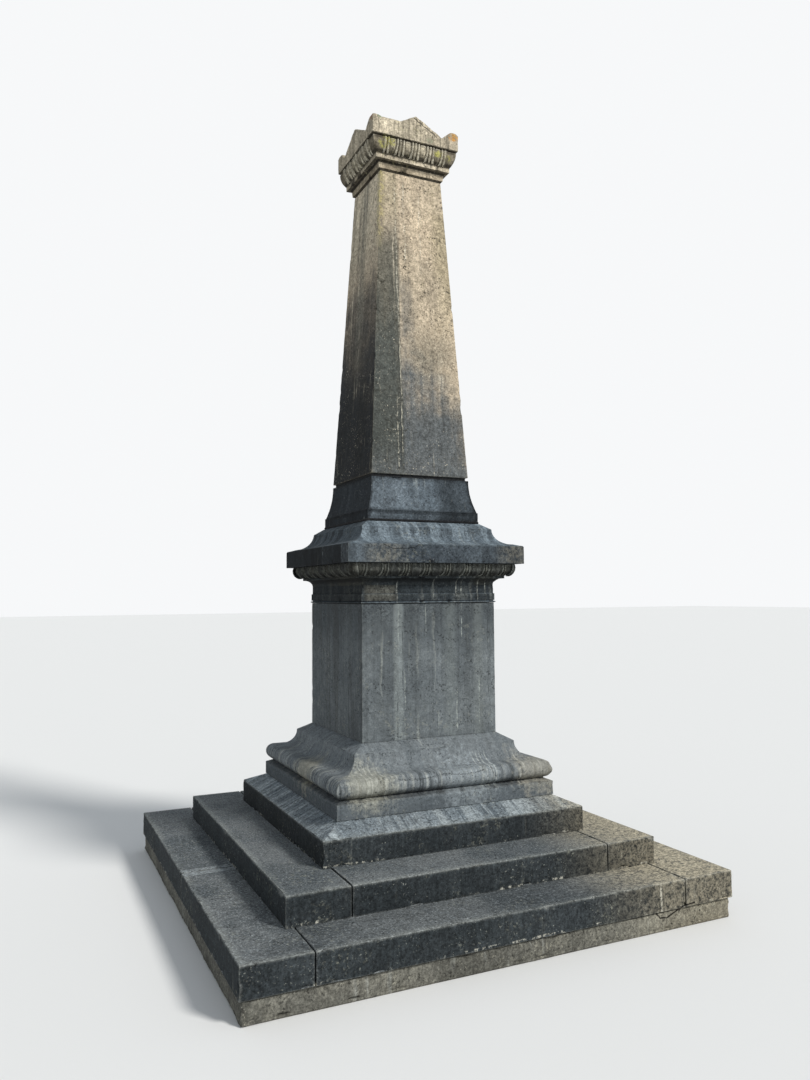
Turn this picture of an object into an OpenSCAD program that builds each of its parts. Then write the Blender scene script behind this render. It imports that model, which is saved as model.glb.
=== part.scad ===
// Stone obelisk on two steps: a square die with a moulded base and cornice carries a
// tapered shaft, a small capital with an egg-and-dart row, and a gabled crown stone.
// The model stands on Z = 0, centred on the Z axis, with its front face towards -Y.

/* [Steps] */
// Height of the rough footing course under the lower step
footing_h = 110; // [60:5:200]
// How far the footing stays back from the face of the lower step
footing_inset = 8; // [2:1:40]
// Width of the lower step
lower_step_w = 2820; // [2640:10:3200]
// Rise of the lower step
lower_rise = 150; // [110:5:200]
// Bed depth of the stones that ring the lower step
lower_run_w = 345; // [310:5:400]
// Distance of the side joints of the lower step in front of the centre line
lower_side_joint = 80; // [0:5:300]
// Width of the upper step
upper_step_w = 2230; // [2100:10:2500]
// Rise of the upper step
upper_rise = 150; // [110:5:200]
// Bed depth of the stones that ring the upper step
upper_run_w = 340; // [300:5:400]

/* [Plinth and base] */
// Width of the plinth stone
plinth_w = 1650; // [1560:5:1800]
// Height of the upright face of the plinth stone
plinth_face_h = 142; // [100:2:200]
// Height of the sloping weathering on top of the plinth stone
weathering_h = 58; // [30:2:90]
// Width of the base stone
base_w = 1400; // [1340:5:1480]
// Height of the square fillet at the foot of the base stone
base_fillet_h = 80; // [50:2:120]
// Height of the small slope between the fillet and the roll
fillet_slope_h = 18; // [8:1:30]
// Radius of the roll of the base stone
base_roll_r = 54; // [44:1:64]
// Radius of the hollow above the roll
base_hollow_r = 100; // [85:1:112]
// Height of the slope from the hollow up to the die
die_seat_h = 50; // [30:2:80]

/* [Die] */
// Width of the die
die_w = 900; // [860:5:940]
// Height of the die
die_h = 806; // [600:10:1100]

/* [Cornice] */
// Height of the small roll at the foot of the cornice stone
astragal_h = 16; // [12:1:22]
// How far the small roll stands out from the die
astragal_out = 8; // [5:1:12]
// Height of the lower fascia
low_fascia_h = 44; // [30:1:60]
// Height of the upper fascia
high_fascia_h = 48; // [30:1:60]
// How far the lower fascia stands out from the upper one
fascia_step = 6; // [3:1:12]
// Radius of the hollow over the fascias
bed_hollow_r = 42; // [30:1:48]
// Height of the thin fillet under the egg-and-dart row
bed_fillet_h = 14; // [8:1:20]
// Radius of the quarter round that carries the large eggs
bed_round_r = 56; // [48:1:60]
// Height of the upright band at the top of the quarter round
bed_band_h = 20; // [12:1:30]
// Height of the abacus
abacus_h = 110; // [80:5:150]
// Width of the abacus
abacus_w = 1178; // [1150:2:1240]
// Number of large eggs on each side between the corners
large_eggs = 7; // [5:2:9]

/* [Cornice cap] */
// Height of the sloping edge at the foot of the cap stone
cap_slope_h = 14; // [8:1:24]
// Radius of the hollow of the cap stone
cap_hollow_r = 98; // [80:1:110]
// Height of the chamfer at the top of the cap stone
cap_chamfer_h = 36; // [20:1:50]
// Radius of the pointing bead between the cap stone and the shaft foot
bead_r = 8; // [5:1:12]

/* [Shaft] */
// Width of the shaft foot
foot_w = 760; // [730:2:790]
// Height of the upright fillet of the shaft foot
foot_fillet_h = 54; // [30:2:90]
// Width of the flat lip between that fillet and the flare
flare_lip = 4; // [2:1:10]
// Height of the hollow flare of the shaft foot
foot_flare_h = 210; // [160:5:260]
// Height of the recessed joint between the shaft foot and the shaft
groove_h = 20; // [12:1:30]
// Depth of that recessed joint
groove_d = 14; // [8:1:25]
// Width of the shaft at its bottom
shaft_low_w = 674; // [640:2:700]
// Width of the shaft at its top
shaft_top_w = 440; // [420:2:460]
// Height of the shaft
shaft_h = 1982; // [1500:10:2400]

/* [Capital] */
// Height of the recessed joint under the capital
neck_h = 10; // [6:1:16]
// Height of the lower fascia of the capital
cap_fascia_h = 34; // [24:1:44]
// How far the lower fascia stands out from the shaft
cap_fascia_out = 14; // [10:1:20]
// Radius of the hollow between the two flat bands of the capital
cap_cove_r = 16; // [12:1:22]
// Height of the upper flat band of the capital
cap_band_h = 29; // [20:1:40]
// How far the small egg row reaches out from the flat band below it
ovolo_out = 38; // [30:1:46]
// Height of the small egg row
ovolo_h = 95; // [80:1:110]
// Number of small eggs on each side between the corners
small_eggs = 5; // [3:2:7]

/* [Carved rows] */
// How far the eggs stand out from their moulding
egg_relief = 10; // [6:1:14]
// How far the darts between them stand out
dart_relief = 6; // [4:1:8]
// How far a dart is set back over the curve
dart_set_back = 1; // [0.5:0.5:3]
// Height of the plain line left below the large row
row_foot_h = 2; // [1:1:4]
// Width of an egg as a share of the spacing
egg_share = 0.56; // [0.45:0.01:0.65]
// Width of a dart as a share of the width of an egg
dart_share = 0.22; // [0.15:0.01:0.30]

/* [Crown] */
// Height of the dark quirk under the crown stone
quirk_h = 8; // [5:1:14]
// Depth of that quirk
quirk_d = 12; // [8:1:20]
// How far the crown stone stands out from the egg row
crown_out = 8; // [4:1:16]
// Height of the crown stone at its dips
crown_dip_h = 71; // [50:1:85]
// Height of the corner ears
ear_h = 133; // [115:1:150]
// Width of the corner ears, measured to the dip
ear_w = 122; // [100:1:135]
// Radius of the rounded outer corner of an ear
ear_round = 26; // [15:1:34]
// Height of the gables
gable_h = 176; // [155:1:210]
// Half the width of a gable at the height of the dips
gable_half_w = 190; // [150:1:200]
// Height of the uncut stone left in the front dip on the left
uncut_h = 116; // [95:1:130]

/* [Hidden] */
$fn = 64;

// Half widths
lower_half = lower_step_w / 2;
upper_half = upper_step_w / 2;
plinth_half = plinth_w / 2;
base_half = base_w / 2;
die_half = die_w / 2;
abacus_half = abacus_w / 2;
foot_half = foot_w / 2;
shaft_low_half = shaft_low_w / 2;
shaft_top_half = shaft_top_w / 2;

// Levels, from the ground up
lower_z = footing_h;
upper_z = lower_z + lower_rise;
plinth_z = upper_z + upper_rise;
base_z = plinth_z + plinth_face_h + weathering_h;
base_roll_z = base_z + base_fillet_h + fillet_slope_h;
base_hollow_z = base_roll_z + 2 * base_roll_r;
die_seat_z = base_hollow_z + base_hollow_r;
die_z = die_seat_z + die_seat_h;
cornice_z = die_z + die_h;
low_fascia_z = cornice_z + astragal_h;
high_fascia_z = low_fascia_z + low_fascia_h;
bed_hollow_z = high_fascia_z + high_fascia_h;
bed_fillet_z = bed_hollow_z + bed_hollow_r;
bed_round_z = bed_fillet_z + bed_fillet_h;
bed_band_z = bed_round_z + bed_round_r;
abacus_z = bed_band_z + bed_band_h;
cap_z = abacus_z + abacus_h;
cap_hollow_z = cap_z + cap_slope_h;
cap_chamfer_z = cap_hollow_z + cap_hollow_r;
bead_z = cap_chamfer_z + cap_chamfer_h;
foot_z = bead_z + 2 * bead_r;
flare_z = foot_z + foot_fillet_h;
groove_z = flare_z + foot_flare_h;
shaft_z = groove_z + groove_h;
neck_z = shaft_z + shaft_h;
cap_fascia_z = neck_z + neck_h;
cap_cove_z = cap_fascia_z + cap_fascia_h;
cap_band_z = cap_cove_z + cap_cove_r;
ovolo_z = cap_band_z + cap_band_h;
quirk_z = ovolo_z + ovolo_h;
crown_z = quirk_z + quirk_h;

// Widths that follow from the pieces they sit on
arris_half = base_half - base_roll_r - base_hollow_r - 14;
fascia_half = die_half - 3;
bed_fillet_half = fascia_half + bed_hollow_r + 14;
bed_round_half = bed_fillet_half - 3 + bed_round_r;
cap_neck_half = abacus_half - cap_hollow_r - 47;
cap_fascia_half = shaft_top_half + cap_fascia_out;
cap_band_half = cap_fascia_half + cap_cove_r + 14;
ovolo_half = cap_band_half + ovolo_out;
ovolo_arc_r = (ovolo_h * ovolo_h + ovolo_out * ovolo_out) / (2 * ovolo_out);
crown_half = ovolo_half + crown_out;

// Spacing of the carved eggs
large_pitch = 2 * (bed_round_half - 12) / (large_eggs + 1);
small_pitch = 2 * (ovolo_half - 4) / (small_eggs + 1);

limestone = [0.56, 0.55, 0.52];
dark_limestone = [0.40, 0.41, 0.41];
warm_limestone = [0.66, 0.62, 0.53];
step_stone = [0.47, 0.47, 0.46];
rubble = [0.60, 0.57, 0.50];
lead_grey = [0.24, 0.25, 0.26];

// A square block of the given half width, standing on the level z
module square_block(half, z, h) {
    translate([-half, -half, z])
        cube([2 * half, 2 * half, h]);
}

// A box given by its two opposite corners in plan and its levels
module plan_box(x0, y0, x1, y1, z, h) {
    translate([x0, y0, z])
        cube([x1 - x0, y1 - y0, h]);
}

// A stone whose moulded outline runs round all four sides and mitres at the corners;
// its child is the outline, drawn with X across and Y upwards
module mitred_stone(reach) {
    intersection() {
        rotate([90, 0, 0])
            linear_extrude(height = 2 * reach, center = true)
                children();
        rotate([90, 0, 90])
            linear_extrude(height = 2 * reach, center = true)
                children();
    }
}

// The part of an outline that is a trapezium, symmetrical about the centre line
module band(z0, half0, z1, half1) {
    polygon([[-half0, z0], [half0, z0], [half1, z1], [-half1, z1]]);
}

// Circles of one radius at both sides of the outline
module both_sides(x, z, r) {
    for (side = [-1, 1])
        translate([side * x, z])
            circle(r = r);
}

// Steps
module footing_course() color(rubble)
    square_block(lower_half - footing_inset, 0, footing_h);

// A stone across the front or back of a step, between the side runs
module step_cross_stone(half, run, z, h, side) {
    inner = half - run;
    if (side < 0)
        plan_box(-inner, -half, inner, -inner, z, h);
    else
        plan_box(-inner, inner, inner, half, z, h);
}

module lower_step_front() color(step_stone)
    step_cross_stone(lower_half, lower_run_w, lower_z, lower_rise, -1);

module lower_step_back() color(step_stone)
    step_cross_stone(lower_half, lower_run_w, lower_z, lower_rise, 1);

module lower_step_left_front() color(step_stone)
    plan_box(-lower_half, -lower_half, lower_run_w - lower_half, -lower_side_joint,
        lower_z, lower_rise);

module lower_step_left_back() color(step_stone)
    plan_box(-lower_half, -lower_side_joint, lower_run_w - lower_half, lower_half,
        lower_z, lower_rise);

module lower_step_right_front() color(step_stone)
    plan_box(lower_half - lower_run_w, -lower_half, lower_half, -lower_side_joint,
        lower_z, lower_rise);

module lower_step_right_back() color(step_stone)
    plan_box(lower_half - lower_run_w, -lower_side_joint, lower_half, lower_half,
        lower_z, lower_rise);

module lower_step_core() color(rubble)
    square_block(lower_half - lower_run_w, lower_z, lower_rise);

module upper_step_front() color(step_stone)
    step_cross_stone(upper_half, upper_run_w, upper_z, upper_rise, -1);

module upper_step_back() color(step_stone)
    step_cross_stone(upper_half, upper_run_w, upper_z, upper_rise, 1);

module upper_step_left() color(step_stone)
    plan_box(-upper_half, -upper_half, upper_run_w - upper_half, upper_half,
        upper_z, upper_rise);

module upper_step_right() color(step_stone)
    plan_box(upper_half - upper_run_w, -upper_half, upper_half, upper_half,
        upper_z, upper_rise);

module upper_step_core() color(rubble)
    square_block(upper_half - upper_run_w, upper_z, upper_rise);

// Pedestal
module plinth_stone() color(step_stone)
    mitred_stone(plinth_half + 1) {
        union() {
            band(plinth_z, plinth_half, plinth_z + plinth_face_h, plinth_half);
            band(plinth_z + plinth_face_h, plinth_half, base_z, base_half);
        }
    }

// Fillet, roll and hollow of the base stone, with the slope up to the die
module base_outline() {
    roll_x = base_half - base_roll_r;
    roll_z = base_roll_z + base_roll_r;
    band(base_z, base_half, base_z + base_fillet_h, base_half);
    band(base_z + base_fillet_h, base_half, base_roll_z, roll_x + base_roll_r / 4);
    band(base_roll_z, roll_x, base_hollow_z, roll_x);
    both_sides(roll_x, roll_z, base_roll_r);
    difference() {
        band(base_hollow_z, roll_x, die_seat_z, roll_x);
        both_sides(arris_half + base_hollow_r, die_seat_z, base_hollow_r);
        for (side = [-1, 1])
            translate([side * (arris_half + 2 * base_hollow_r) - base_hollow_r, base_hollow_z])
                square([2 * base_hollow_r, 2 * base_hollow_r]);
    }
    band(die_seat_z, arris_half, die_seat_z + 4, arris_half);
    band(die_seat_z + 4, arris_half, die_z, die_half);
}

module base_stone() color(limestone)
    mitred_stone(base_half + 1)
        base_outline();

module die_stone() color(limestone)
    square_block(die_half, die_z, die_h);

// Roll, two fascias, hollow, fillet, quarter round and abacus of the cornice stone
module cornice_outline() {
    astragal_r = (astragal_h - 6) / 2;
    roll_x = die_half + astragal_out - astragal_r;
    band(cornice_z, fascia_half, bed_fillet_z, fascia_half);
    band(cornice_z + 1, roll_x, cornice_z + 1 + 2 * astragal_r, roll_x);
    both_sides(roll_x, cornice_z + 1 + astragal_r, astragal_r);
    band(low_fascia_z, fascia_half + fascia_step, high_fascia_z, fascia_half + fascia_step);
    difference() {
        band(bed_hollow_z, fascia_half + bed_hollow_r, bed_fillet_z, fascia_half + bed_hollow_r);
        both_sides(fascia_half + bed_hollow_r, bed_hollow_z, bed_hollow_r);
    }
    band(bed_fillet_z, bed_fillet_half, bed_round_z, bed_fillet_half);
    round_x = bed_round_half - bed_round_r;
    intersection() {
        both_sides(round_x, bed_band_z, bed_round_r);
        band(bed_round_z, bed_round_half, bed_band_z, bed_round_half);
    }
    band(bed_round_z, round_x, abacus_z, round_x);
    band(bed_band_z, bed_round_half, abacus_z, bed_round_half);
    band(abacus_z, abacus_half, cap_z, abacus_half);
}

// One carved egg, a spindle of the given length and width with its axis upright
module egg(long, wide) {
    arc_r = (long * long + wide * wide) / (4 * wide);
    rotate_extrude($fn = 14)
        intersection() {
            translate([wide / 2 - arc_r, 0])
                circle(r = arc_r, $fn = 20);
            translate([0, -long])
                square([wide, 2 * long]);
        }
}

// A dart: a narrow rib that follows the arc of the moulding and the band over it,
// where it is set back a little. The arc has the radius arc_r about the point
// centre_x, centre_z
module dart(centre_x, centre_z, arc_r, band_h, wide) {
    translate([-wide / 2, -centre_x, centre_z])
        rotate([90, 0, 90])
            linear_extrude(height = wide) {
                translate([-dart_relief * 2 / 3, 0])
                    circle(r = arc_r + dart_relief / 3);
                translate([-arc_r - dart_relief + dart_set_back, 0])
                    square([arc_r, band_h]);
            }
}

// Eggs and darts by turns along the four sides and an egg over each corner.
// The eggs sit on the arc at the angle mid below its centre and stand out by egg_relief
module egg_row(count, pitch, centre_x, centre_z, arc_r, mid, long, wide, band_h) {
    egg_at = arc_r + egg_relief - wide / 2;
    for (turn = [0:3])
        rotate([0, 0, 90 * turn]) {
            for (i = [0:count - 1])
                translate([(i - (count - 1) / 2) * pitch,
                        -centre_x - egg_at * cos(mid), centre_z - egg_at * sin(mid)])
                    rotate([mid, 0, 0])
                        egg(long, wide);
            for (i = [0:count])
                translate([(i - count / 2) * pitch, 0, 0])
                    dart(centre_x, centre_z, arc_r, band_h, wide * dart_share);
            rotate([0, 0, 45])
                translate([0, -(centre_x + egg_at * cos(mid)) * sqrt(2) + egg_relief,
                        centre_z - egg_at * sin(mid)])
                    rotate([mid, 0, 0])
                        egg(long, wide);
        }
}

module large_egg_row() {
    egg_row(large_eggs, large_pitch, bed_round_half - bed_round_r, bed_band_z, bed_round_r,
        45, bed_round_r * 1.5, large_pitch * egg_share, bed_band_h + 5);
}

module cornice_stone() color(dark_limestone) {
    mitred_stone(abacus_half + 1)
        cornice_outline();
    intersection() {
        large_egg_row();
        square_block(abacus_half, bed_round_z + row_foot_h,
            abacus_z - bed_round_z - row_foot_h + 1);
    }
}

// Sloping edge, hollow and chamfer of the cap stone
module cap_outline() {
    hollow_x = cap_neck_half + cap_hollow_r;
    band(cap_z, abacus_half, cap_hollow_z, hollow_x);
    difference() {
        band(cap_hollow_z, hollow_x, cap_chamfer_z, hollow_x);
        both_sides(hollow_x, cap_chamfer_z, cap_hollow_r);
    }
    band(cap_chamfer_z, cap_neck_half, bead_z, foot_half + bead_r);
}

module cornice_cap() color(dark_limestone)
    mitred_stone(abacus_half + 1)
        cap_outline();

module pointing_bead() color(lead_grey)
    mitred_stone(foot_half + 2 * bead_r) {
        union() {
            band(bead_z, foot_half - 2, foot_z, foot_half - 2);
            both_sides(foot_half - 2, bead_z + bead_r, bead_r);
        }
    }

// Upright fillet and hollow flare of the shaft foot
module foot_outline() {
    flare_out = foot_half - flare_lip - shaft_low_half;
    flare_r = (foot_flare_h * foot_flare_h + flare_out * flare_out) / (2 * flare_out);
    band(foot_z, foot_half, flare_z, foot_half);
    difference() {
        band(flare_z, foot_half, groove_z, foot_half);
        both_sides(shaft_low_half + flare_r, groove_z, flare_r);
    }
}

module shaft_foot() color(dark_limestone)
    mitred_stone(foot_half + 1)
        foot_outline();

module shaft_joint() color(lead_grey)
    square_block(shaft_low_half - groove_d, groove_z, groove_h);

module shaft_stone() color(warm_limestone)
    mitred_stone(shaft_low_half + 1)
        band(shaft_z, shaft_low_half, neck_z, shaft_top_half);

// Neck, two flat bands with a hollow between them, and the swelling egg moulding
module capital_outline() {
    band(neck_z, shaft_top_half - 3, cap_fascia_z, shaft_top_half - 3);
    band(cap_fascia_z, cap_fascia_half - 3, cap_cove_z, cap_fascia_half);
    difference() {
        band(cap_cove_z, cap_fascia_half + cap_cove_r, cap_band_z, cap_fascia_half + cap_cove_r);
        both_sides(cap_fascia_half + cap_cove_r, cap_cove_z, cap_cove_r);
    }
    band(cap_band_z, cap_band_half, ovolo_z, cap_band_half);
    intersection() {
        both_sides(ovolo_half - ovolo_arc_r, quirk_z, ovolo_arc_r);
        band(ovolo_z, ovolo_half, quirk_z, ovolo_half);
    }
    band(ovolo_z, cap_band_half - 20, quirk_z, cap_band_half - 20);
    band(quirk_z, ovolo_half - quirk_d, crown_z, ovolo_half - quirk_d);
}

module small_egg_row() {
    mid = asin(ovolo_h / ovolo_arc_r) / 2;
    egg_row(small_eggs, small_pitch, ovolo_half - ovolo_arc_r, quirk_z, ovolo_arc_r,
        mid, ovolo_h * 1.05, small_pitch * egg_share, quirk_h);
}

module capital_stone() color(warm_limestone) {
    mitred_stone(crown_half)
        capital_outline();
    intersection() {
        small_egg_row();
        square_block(crown_half, ovolo_z - 4, quirk_z - ovolo_z + 4);
    }
}

// The outline of one ear, with its upright edge on the left
module ear_outline() {
    slope_w = ear_w - 2 * ear_round;
    translate([-crown_half, 0])
        square([2 * ear_round, ear_h - ear_round]);
    translate([ear_round - crown_half, ear_h - ear_round])
        circle(r = ear_round);
    translate([ear_round - crown_half, 0])
        polygon([[0, 0], [0, ear_h], [ear_round, ear_h - 3],
            [ear_round + slope_w, crown_dip_h], [ear_round + slope_w, 0]]);
}

// A gable roof that runs from the front face to the back face
module gable_prism() {
    rotate([90, 0, 0])
        linear_extrude(height = 2 * crown_half, center = true)
            polygon([[-gable_half_w, 0], [gable_half_w, 0],
                [gable_half_w, crown_dip_h], [0, gable_h], [-gable_half_w, crown_dip_h]]);
}

// One corner ear, shaped alike on both faces
module corner_ear() {
    intersection() {
        rotate([90, 0, 0])
            linear_extrude(height = 2 * crown_half, center = true)
                ear_outline();
        rotate([90, 0, 90])
            linear_extrude(height = 2 * crown_half, center = true)
                ear_outline();
    }
}

module crown_stone() color(warm_limestone)
    translate([0, 0, crown_z]) {
        square_block(crown_half, 0, crown_dip_h);
        gable_prism();
        rotate([0, 0, 90])
            gable_prism();
        for (turn = [0:3])
            rotate([0, 0, 90 * turn])
                corner_ear();
        // stone left uncut between the left ear and the gable of the front face
        translate([-crown_half + ear_w / 2, -crown_half, 0])
            cube([crown_half - ear_w / 2 - gable_half_w / 2, ear_w / 2, uncut_h]);
    }

footing_course();
lower_step_front();
lower_step_back();
lower_step_left_front();
lower_step_left_back();
lower_step_right_front();
lower_step_right_back();
lower_step_core();
upper_step_front();
upper_step_back();
upper_step_left();
upper_step_right();
upper_step_core();
plinth_stone();
base_stone();
die_stone();
cornice_stone();
cornice_cap();
pointing_bead();
shaft_foot();
shaft_joint();
shaft_stone();
capital_stone();
crown_stone();
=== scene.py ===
"""Weathered limestone obelisk on two steps: worn stones, carved egg rows and stained surfaces."""
import math

import bmesh
import bpy
from mathutils import Matrix, Vector


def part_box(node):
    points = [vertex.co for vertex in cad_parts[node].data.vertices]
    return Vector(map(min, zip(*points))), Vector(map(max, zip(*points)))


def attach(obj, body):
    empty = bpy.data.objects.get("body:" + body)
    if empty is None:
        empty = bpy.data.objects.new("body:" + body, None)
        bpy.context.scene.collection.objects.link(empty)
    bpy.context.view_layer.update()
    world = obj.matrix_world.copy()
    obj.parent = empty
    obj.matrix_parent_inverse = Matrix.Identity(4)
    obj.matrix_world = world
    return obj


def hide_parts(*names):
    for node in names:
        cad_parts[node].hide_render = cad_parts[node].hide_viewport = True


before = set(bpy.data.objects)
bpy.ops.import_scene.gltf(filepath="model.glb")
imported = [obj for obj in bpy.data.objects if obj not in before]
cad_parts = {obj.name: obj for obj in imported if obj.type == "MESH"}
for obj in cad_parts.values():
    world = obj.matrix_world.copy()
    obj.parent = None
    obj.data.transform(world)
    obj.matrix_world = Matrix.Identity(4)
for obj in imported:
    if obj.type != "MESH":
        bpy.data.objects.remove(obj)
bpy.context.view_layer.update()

# Camera of the photograph, solved from the edges of the steps, die and shaft
IMAGE_H = 1080
FOCAL_PX = 841.4
SENSOR = 36.0
EYE = Vector((-2.318, -5.032, 1.828))
LOOK_AZIMUTH = math.radians(25.14)
LOOK_PITCH = math.radians(3.68)
LOOK_ROLL = math.radians(-0.40)


def make_camera():
    forward = Vector((math.sin(LOOK_AZIMUTH) * math.cos(LOOK_PITCH),
                      math.cos(LOOK_AZIMUTH) * math.cos(LOOK_PITCH), math.sin(LOOK_PITCH)))
    level_right = forward.cross(Vector((0, 0, 1))).normalized()
    level_up = level_right.cross(forward)
    right = math.cos(LOOK_ROLL) * level_right + math.sin(LOOK_ROLL) * level_up
    up = math.cos(LOOK_ROLL) * level_up - math.sin(LOOK_ROLL) * level_right
    bpy.ops.object.camera_add(location=EYE)
    camera = bpy.context.object
    turn = Matrix((right, up, -forward)).transposed().to_4x4()
    camera.matrix_world = Matrix.Translation(EYE) @ turn
    camera.data.sensor_width = SENSOR
    camera.data.lens = FOCAL_PX / IMAGE_H * SENSOR
    camera.data.clip_start = 0.05
    bpy.context.scene.camera = camera


make_camera()

# Size of the small squares that every dressed face is divided into, so that it can wear
CELL = 0.016
# Arrises this near the bed keep their line, so that a stone closes on the one below
BED_CLEAR = 0.004
# Points this near a bed or top face keep their level, so that the stones stay seated
BED_EDGE = 0.0008
# Depth of the chisel-worn edge of a dressed stone
ARRIS = 0.005
# Spacing of the points along the outline of a moulded stone
OUTLINE_CELL = CELL * 1.6
# Points nearer than this are one point
MERGED = 1e-5
# Blender divides an edge into no more parts than this at once
MOST_CUTS = 100


def deselect():
    bpy.ops.object.select_all(action="DESELECT")


def pick(obj):
    deselect()
    obj.select_set(True)
    bpy.context.view_layer.objects.active = obj


def name_piece(obj, name):
    obj.name = name
    obj.data.name = name
    return obj


def plain_form(add, scale=(1, 1, 1), rise=0.0, **values):
    """One of Blender's plain forms, scaled and raised, with its place in its mesh."""
    deselect()
    add(**values)
    obj = bpy.context.object
    obj.scale = scale
    pick(obj)
    bpy.ops.object.transform_apply(location=True, rotation=True, scale=True)
    obj.data.transform(Matrix.Translation((0, 0, rise)))
    return obj


def select_all():
    bpy.ops.mesh.select_all(action="SELECT")


def open_mesh():
    """Opens the active object in edit mode with all of it selected."""
    bpy.ops.object.mode_set(mode="EDIT")
    select_all()


def close_mesh():
    bpy.ops.object.mode_set(mode="OBJECT")


def mend_normals():
    select_all()
    bpy.ops.mesh.normals_make_consistent(inside=False)


def apply_modifier(obj, name, kind, **values):
    modifier = obj.modifiers.new(name, kind)
    for key, value in values.items():
        setattr(modifier, key, value)
    bpy.ops.object.modifier_apply(modifier=modifier.name)


def select_edges(obj, wanted):
    """Selects, in edit mode, the edges whose two ends pass the test."""
    bpy.ops.mesh.select_mode(type="EDGE")
    bpy.ops.mesh.select_all(action="DESELECT")
    mesh = bmesh.from_edit_mesh(obj.data)
    for edge in mesh.edges:
        if wanted(edge.verts[0].co, edge.verts[1].co):
            edge.select_set(True)
    bmesh.update_edit_mesh(obj.data)


def cut_stone(name, low, high, cell, arris):
    """A squared stone with eased arrises, divided into small squares on every face."""
    centre = [(a + b) / 2 for a, b in zip(low, high)]
    span = [b - a for a, b in zip(low, high)]
    obj = plain_form(bpy.ops.mesh.primitive_cube_add, span, size=1, location=centre)
    open_mesh()
    bpy.ops.mesh.bevel(offset=arris, segments=2, profile=0.5)
    for axis in range(3):
        others = [k for k in range(3) if k != axis]
        cuts = max(1, min(MOST_CUTS, round(span[axis] / cell)))
        select_edges(obj, lambda a, b: abs(a[axis] - b[axis]) > span[axis] * 0.5
                     and all(abs(a[k] - b[k]) < MERGED for k in others))
        bpy.ops.mesh.subdivide(number_cuts=cuts)
    mend_normals()
    close_mesh()
    return name_piece(obj, name)


def arc(cx, cz, r, start, end, steps):
    """Points along a circle of the outline, the angles in degrees from the outward direction."""
    points = []
    for i in range(steps + 1):
        a = math.radians(start + (end - start) * i / steps)
        points.append((cx + r * math.cos(a), cz + r * math.sin(a)))
    return points


def fill_in(outline):
    """Adds points along the long straight stretches of an outline."""
    points = [outline[0]]
    for (x0, z0), (x1, z1) in zip(outline, outline[1:]):
        parts = max(1, round(math.hypot(x1 - x0, z1 - z0) / OUTLINE_CELL))
        for i in range(1, parts + 1):
            points.append((x0 + (x1 - x0) * i / parts, z0 + (z1 - z0) * i / parts))
    return points


def moulded_stone(name, outline, arris):
    """A square stone run round with one outline, from its bed up to its top."""
    points = fill_in(outline)
    half, z = points[0]
    obj = plain_form(bpy.ops.mesh.primitive_plane_add, size=2 * half, location=(0, 0, z))
    widest = max(p[0] for p in points)
    open_mesh()
    bpy.ops.mesh.delete(type="ONLY_FACE")
    bpy.ops.mesh.select_mode(type="EDGE")
    select_all()
    bpy.ops.mesh.subdivide(number_cuts=min(MOST_CUTS, max(8, round(2 * widest / CELL))))
    select_all()
    bpy.ops.mesh.edge_face_add()
    select_all()
    for (x0, z0), (x1, z1) in zip(points, points[1:]):
        bpy.ops.mesh.extrude_region_move(TRANSFORM_OT_translate={"value": (0, 0, z1 - z0)})
        if abs(x1 - x0) > 1e-6:
            grow = x1 / x0
            bpy.ops.transform.resize(value=(grow, grow, 1), center_override=(0, 0, z1))
    select_all()
    bpy.ops.mesh.remove_doubles(threshold=MERGED)
    mend_normals()
    close_mesh()
    if arris:
        pick(obj)
        apply_modifier(obj, "eased arrises", "BEVEL", width=arris, segments=2,
                       limit_method="ANGLE", angle_limit=math.radians(32),
                       use_clamp_overlap=True)
    return name_piece(obj, name)


def cloud(name, size, low, high, depth=2):
    """A cloud texture that is 0 below one value of its noise and 1 above another."""
    texture = bpy.data.textures.new(name, "CLOUDS")
    texture.noise_scale = size
    texture.noise_depth = depth
    texture.use_color_ramp = True
    ramp = texture.color_ramp
    for stop, place, grey in zip(ramp.elements, (low, high), (0.0, 1.0)):
        stop.position = place
        stop.color = (grey, grey, grey, 1.0)
    return texture


SWELL = cloud("slow swell of a face", 0.45, 0.2, 0.8)
RAGGED = cloud("ragged arris", 0.022, 0.3, 0.7, 3)
CHIPS = cloud("broken arris", 0.070, 0.24, 0.36, 2)
PITTED = cloud("pitted face", 0.028, 0.3, 0.7, 3)


def mark_arrises(obj, angle, above):
    """A vertex group of the points on the sharp edges above a level."""
    mesh = bmesh.new()
    mesh.from_mesh(obj.data)
    sharp = set()
    for edge in mesh.edges:
        if len(edge.link_faces) == 2 and edge.calc_face_angle(0) > angle:
            sharp.update(v.index for v in edge.verts if v.co.z > above)
    mesh.free()
    obj.vertex_groups.new(name="arrises").add(list(sharp), 1.0, "REPLACE")


def push(obj, texture, strength, group=""):
    """Moves the surface inwards, by the whole strength where the texture is black."""
    apply_modifier(obj, "wear", "DISPLACE", texture=texture, texture_coords="LOCAL",
                   direction="NORMAL", strength=strength, mid_level=1.0, vertex_group=group)


def wear(obj, swell, ragged, chips, pits=0.0004):
    """Slow swells and pits on the faces, ragged and broken arrises, between level beds."""
    pick(obj)
    levels = [v.co.z for v in obj.data.vertices]
    bed, top = min(levels), max(levels)
    mark_arrises(obj, math.radians(20), bed + BED_CLEAR)
    push(obj, SWELL, swell)
    push(obj, PITTED, pits)
    push(obj, RAGGED, ragged, "arrises")
    if chips:
        push(obj, CHIPS, chips, "arrises")
    obj.vertex_groups.clear()
    for vert, level in zip(obj.data.vertices, levels):
        if min(level - bed, top - level) < BED_EDGE:
            vert.co.z = level
    bpy.ops.object.shade_smooth_by_angle(angle=math.radians(38))


def put_in_place(obj, node):
    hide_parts(node)
    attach(obj, "root")
    return obj


# Masonry of the steps

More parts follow.
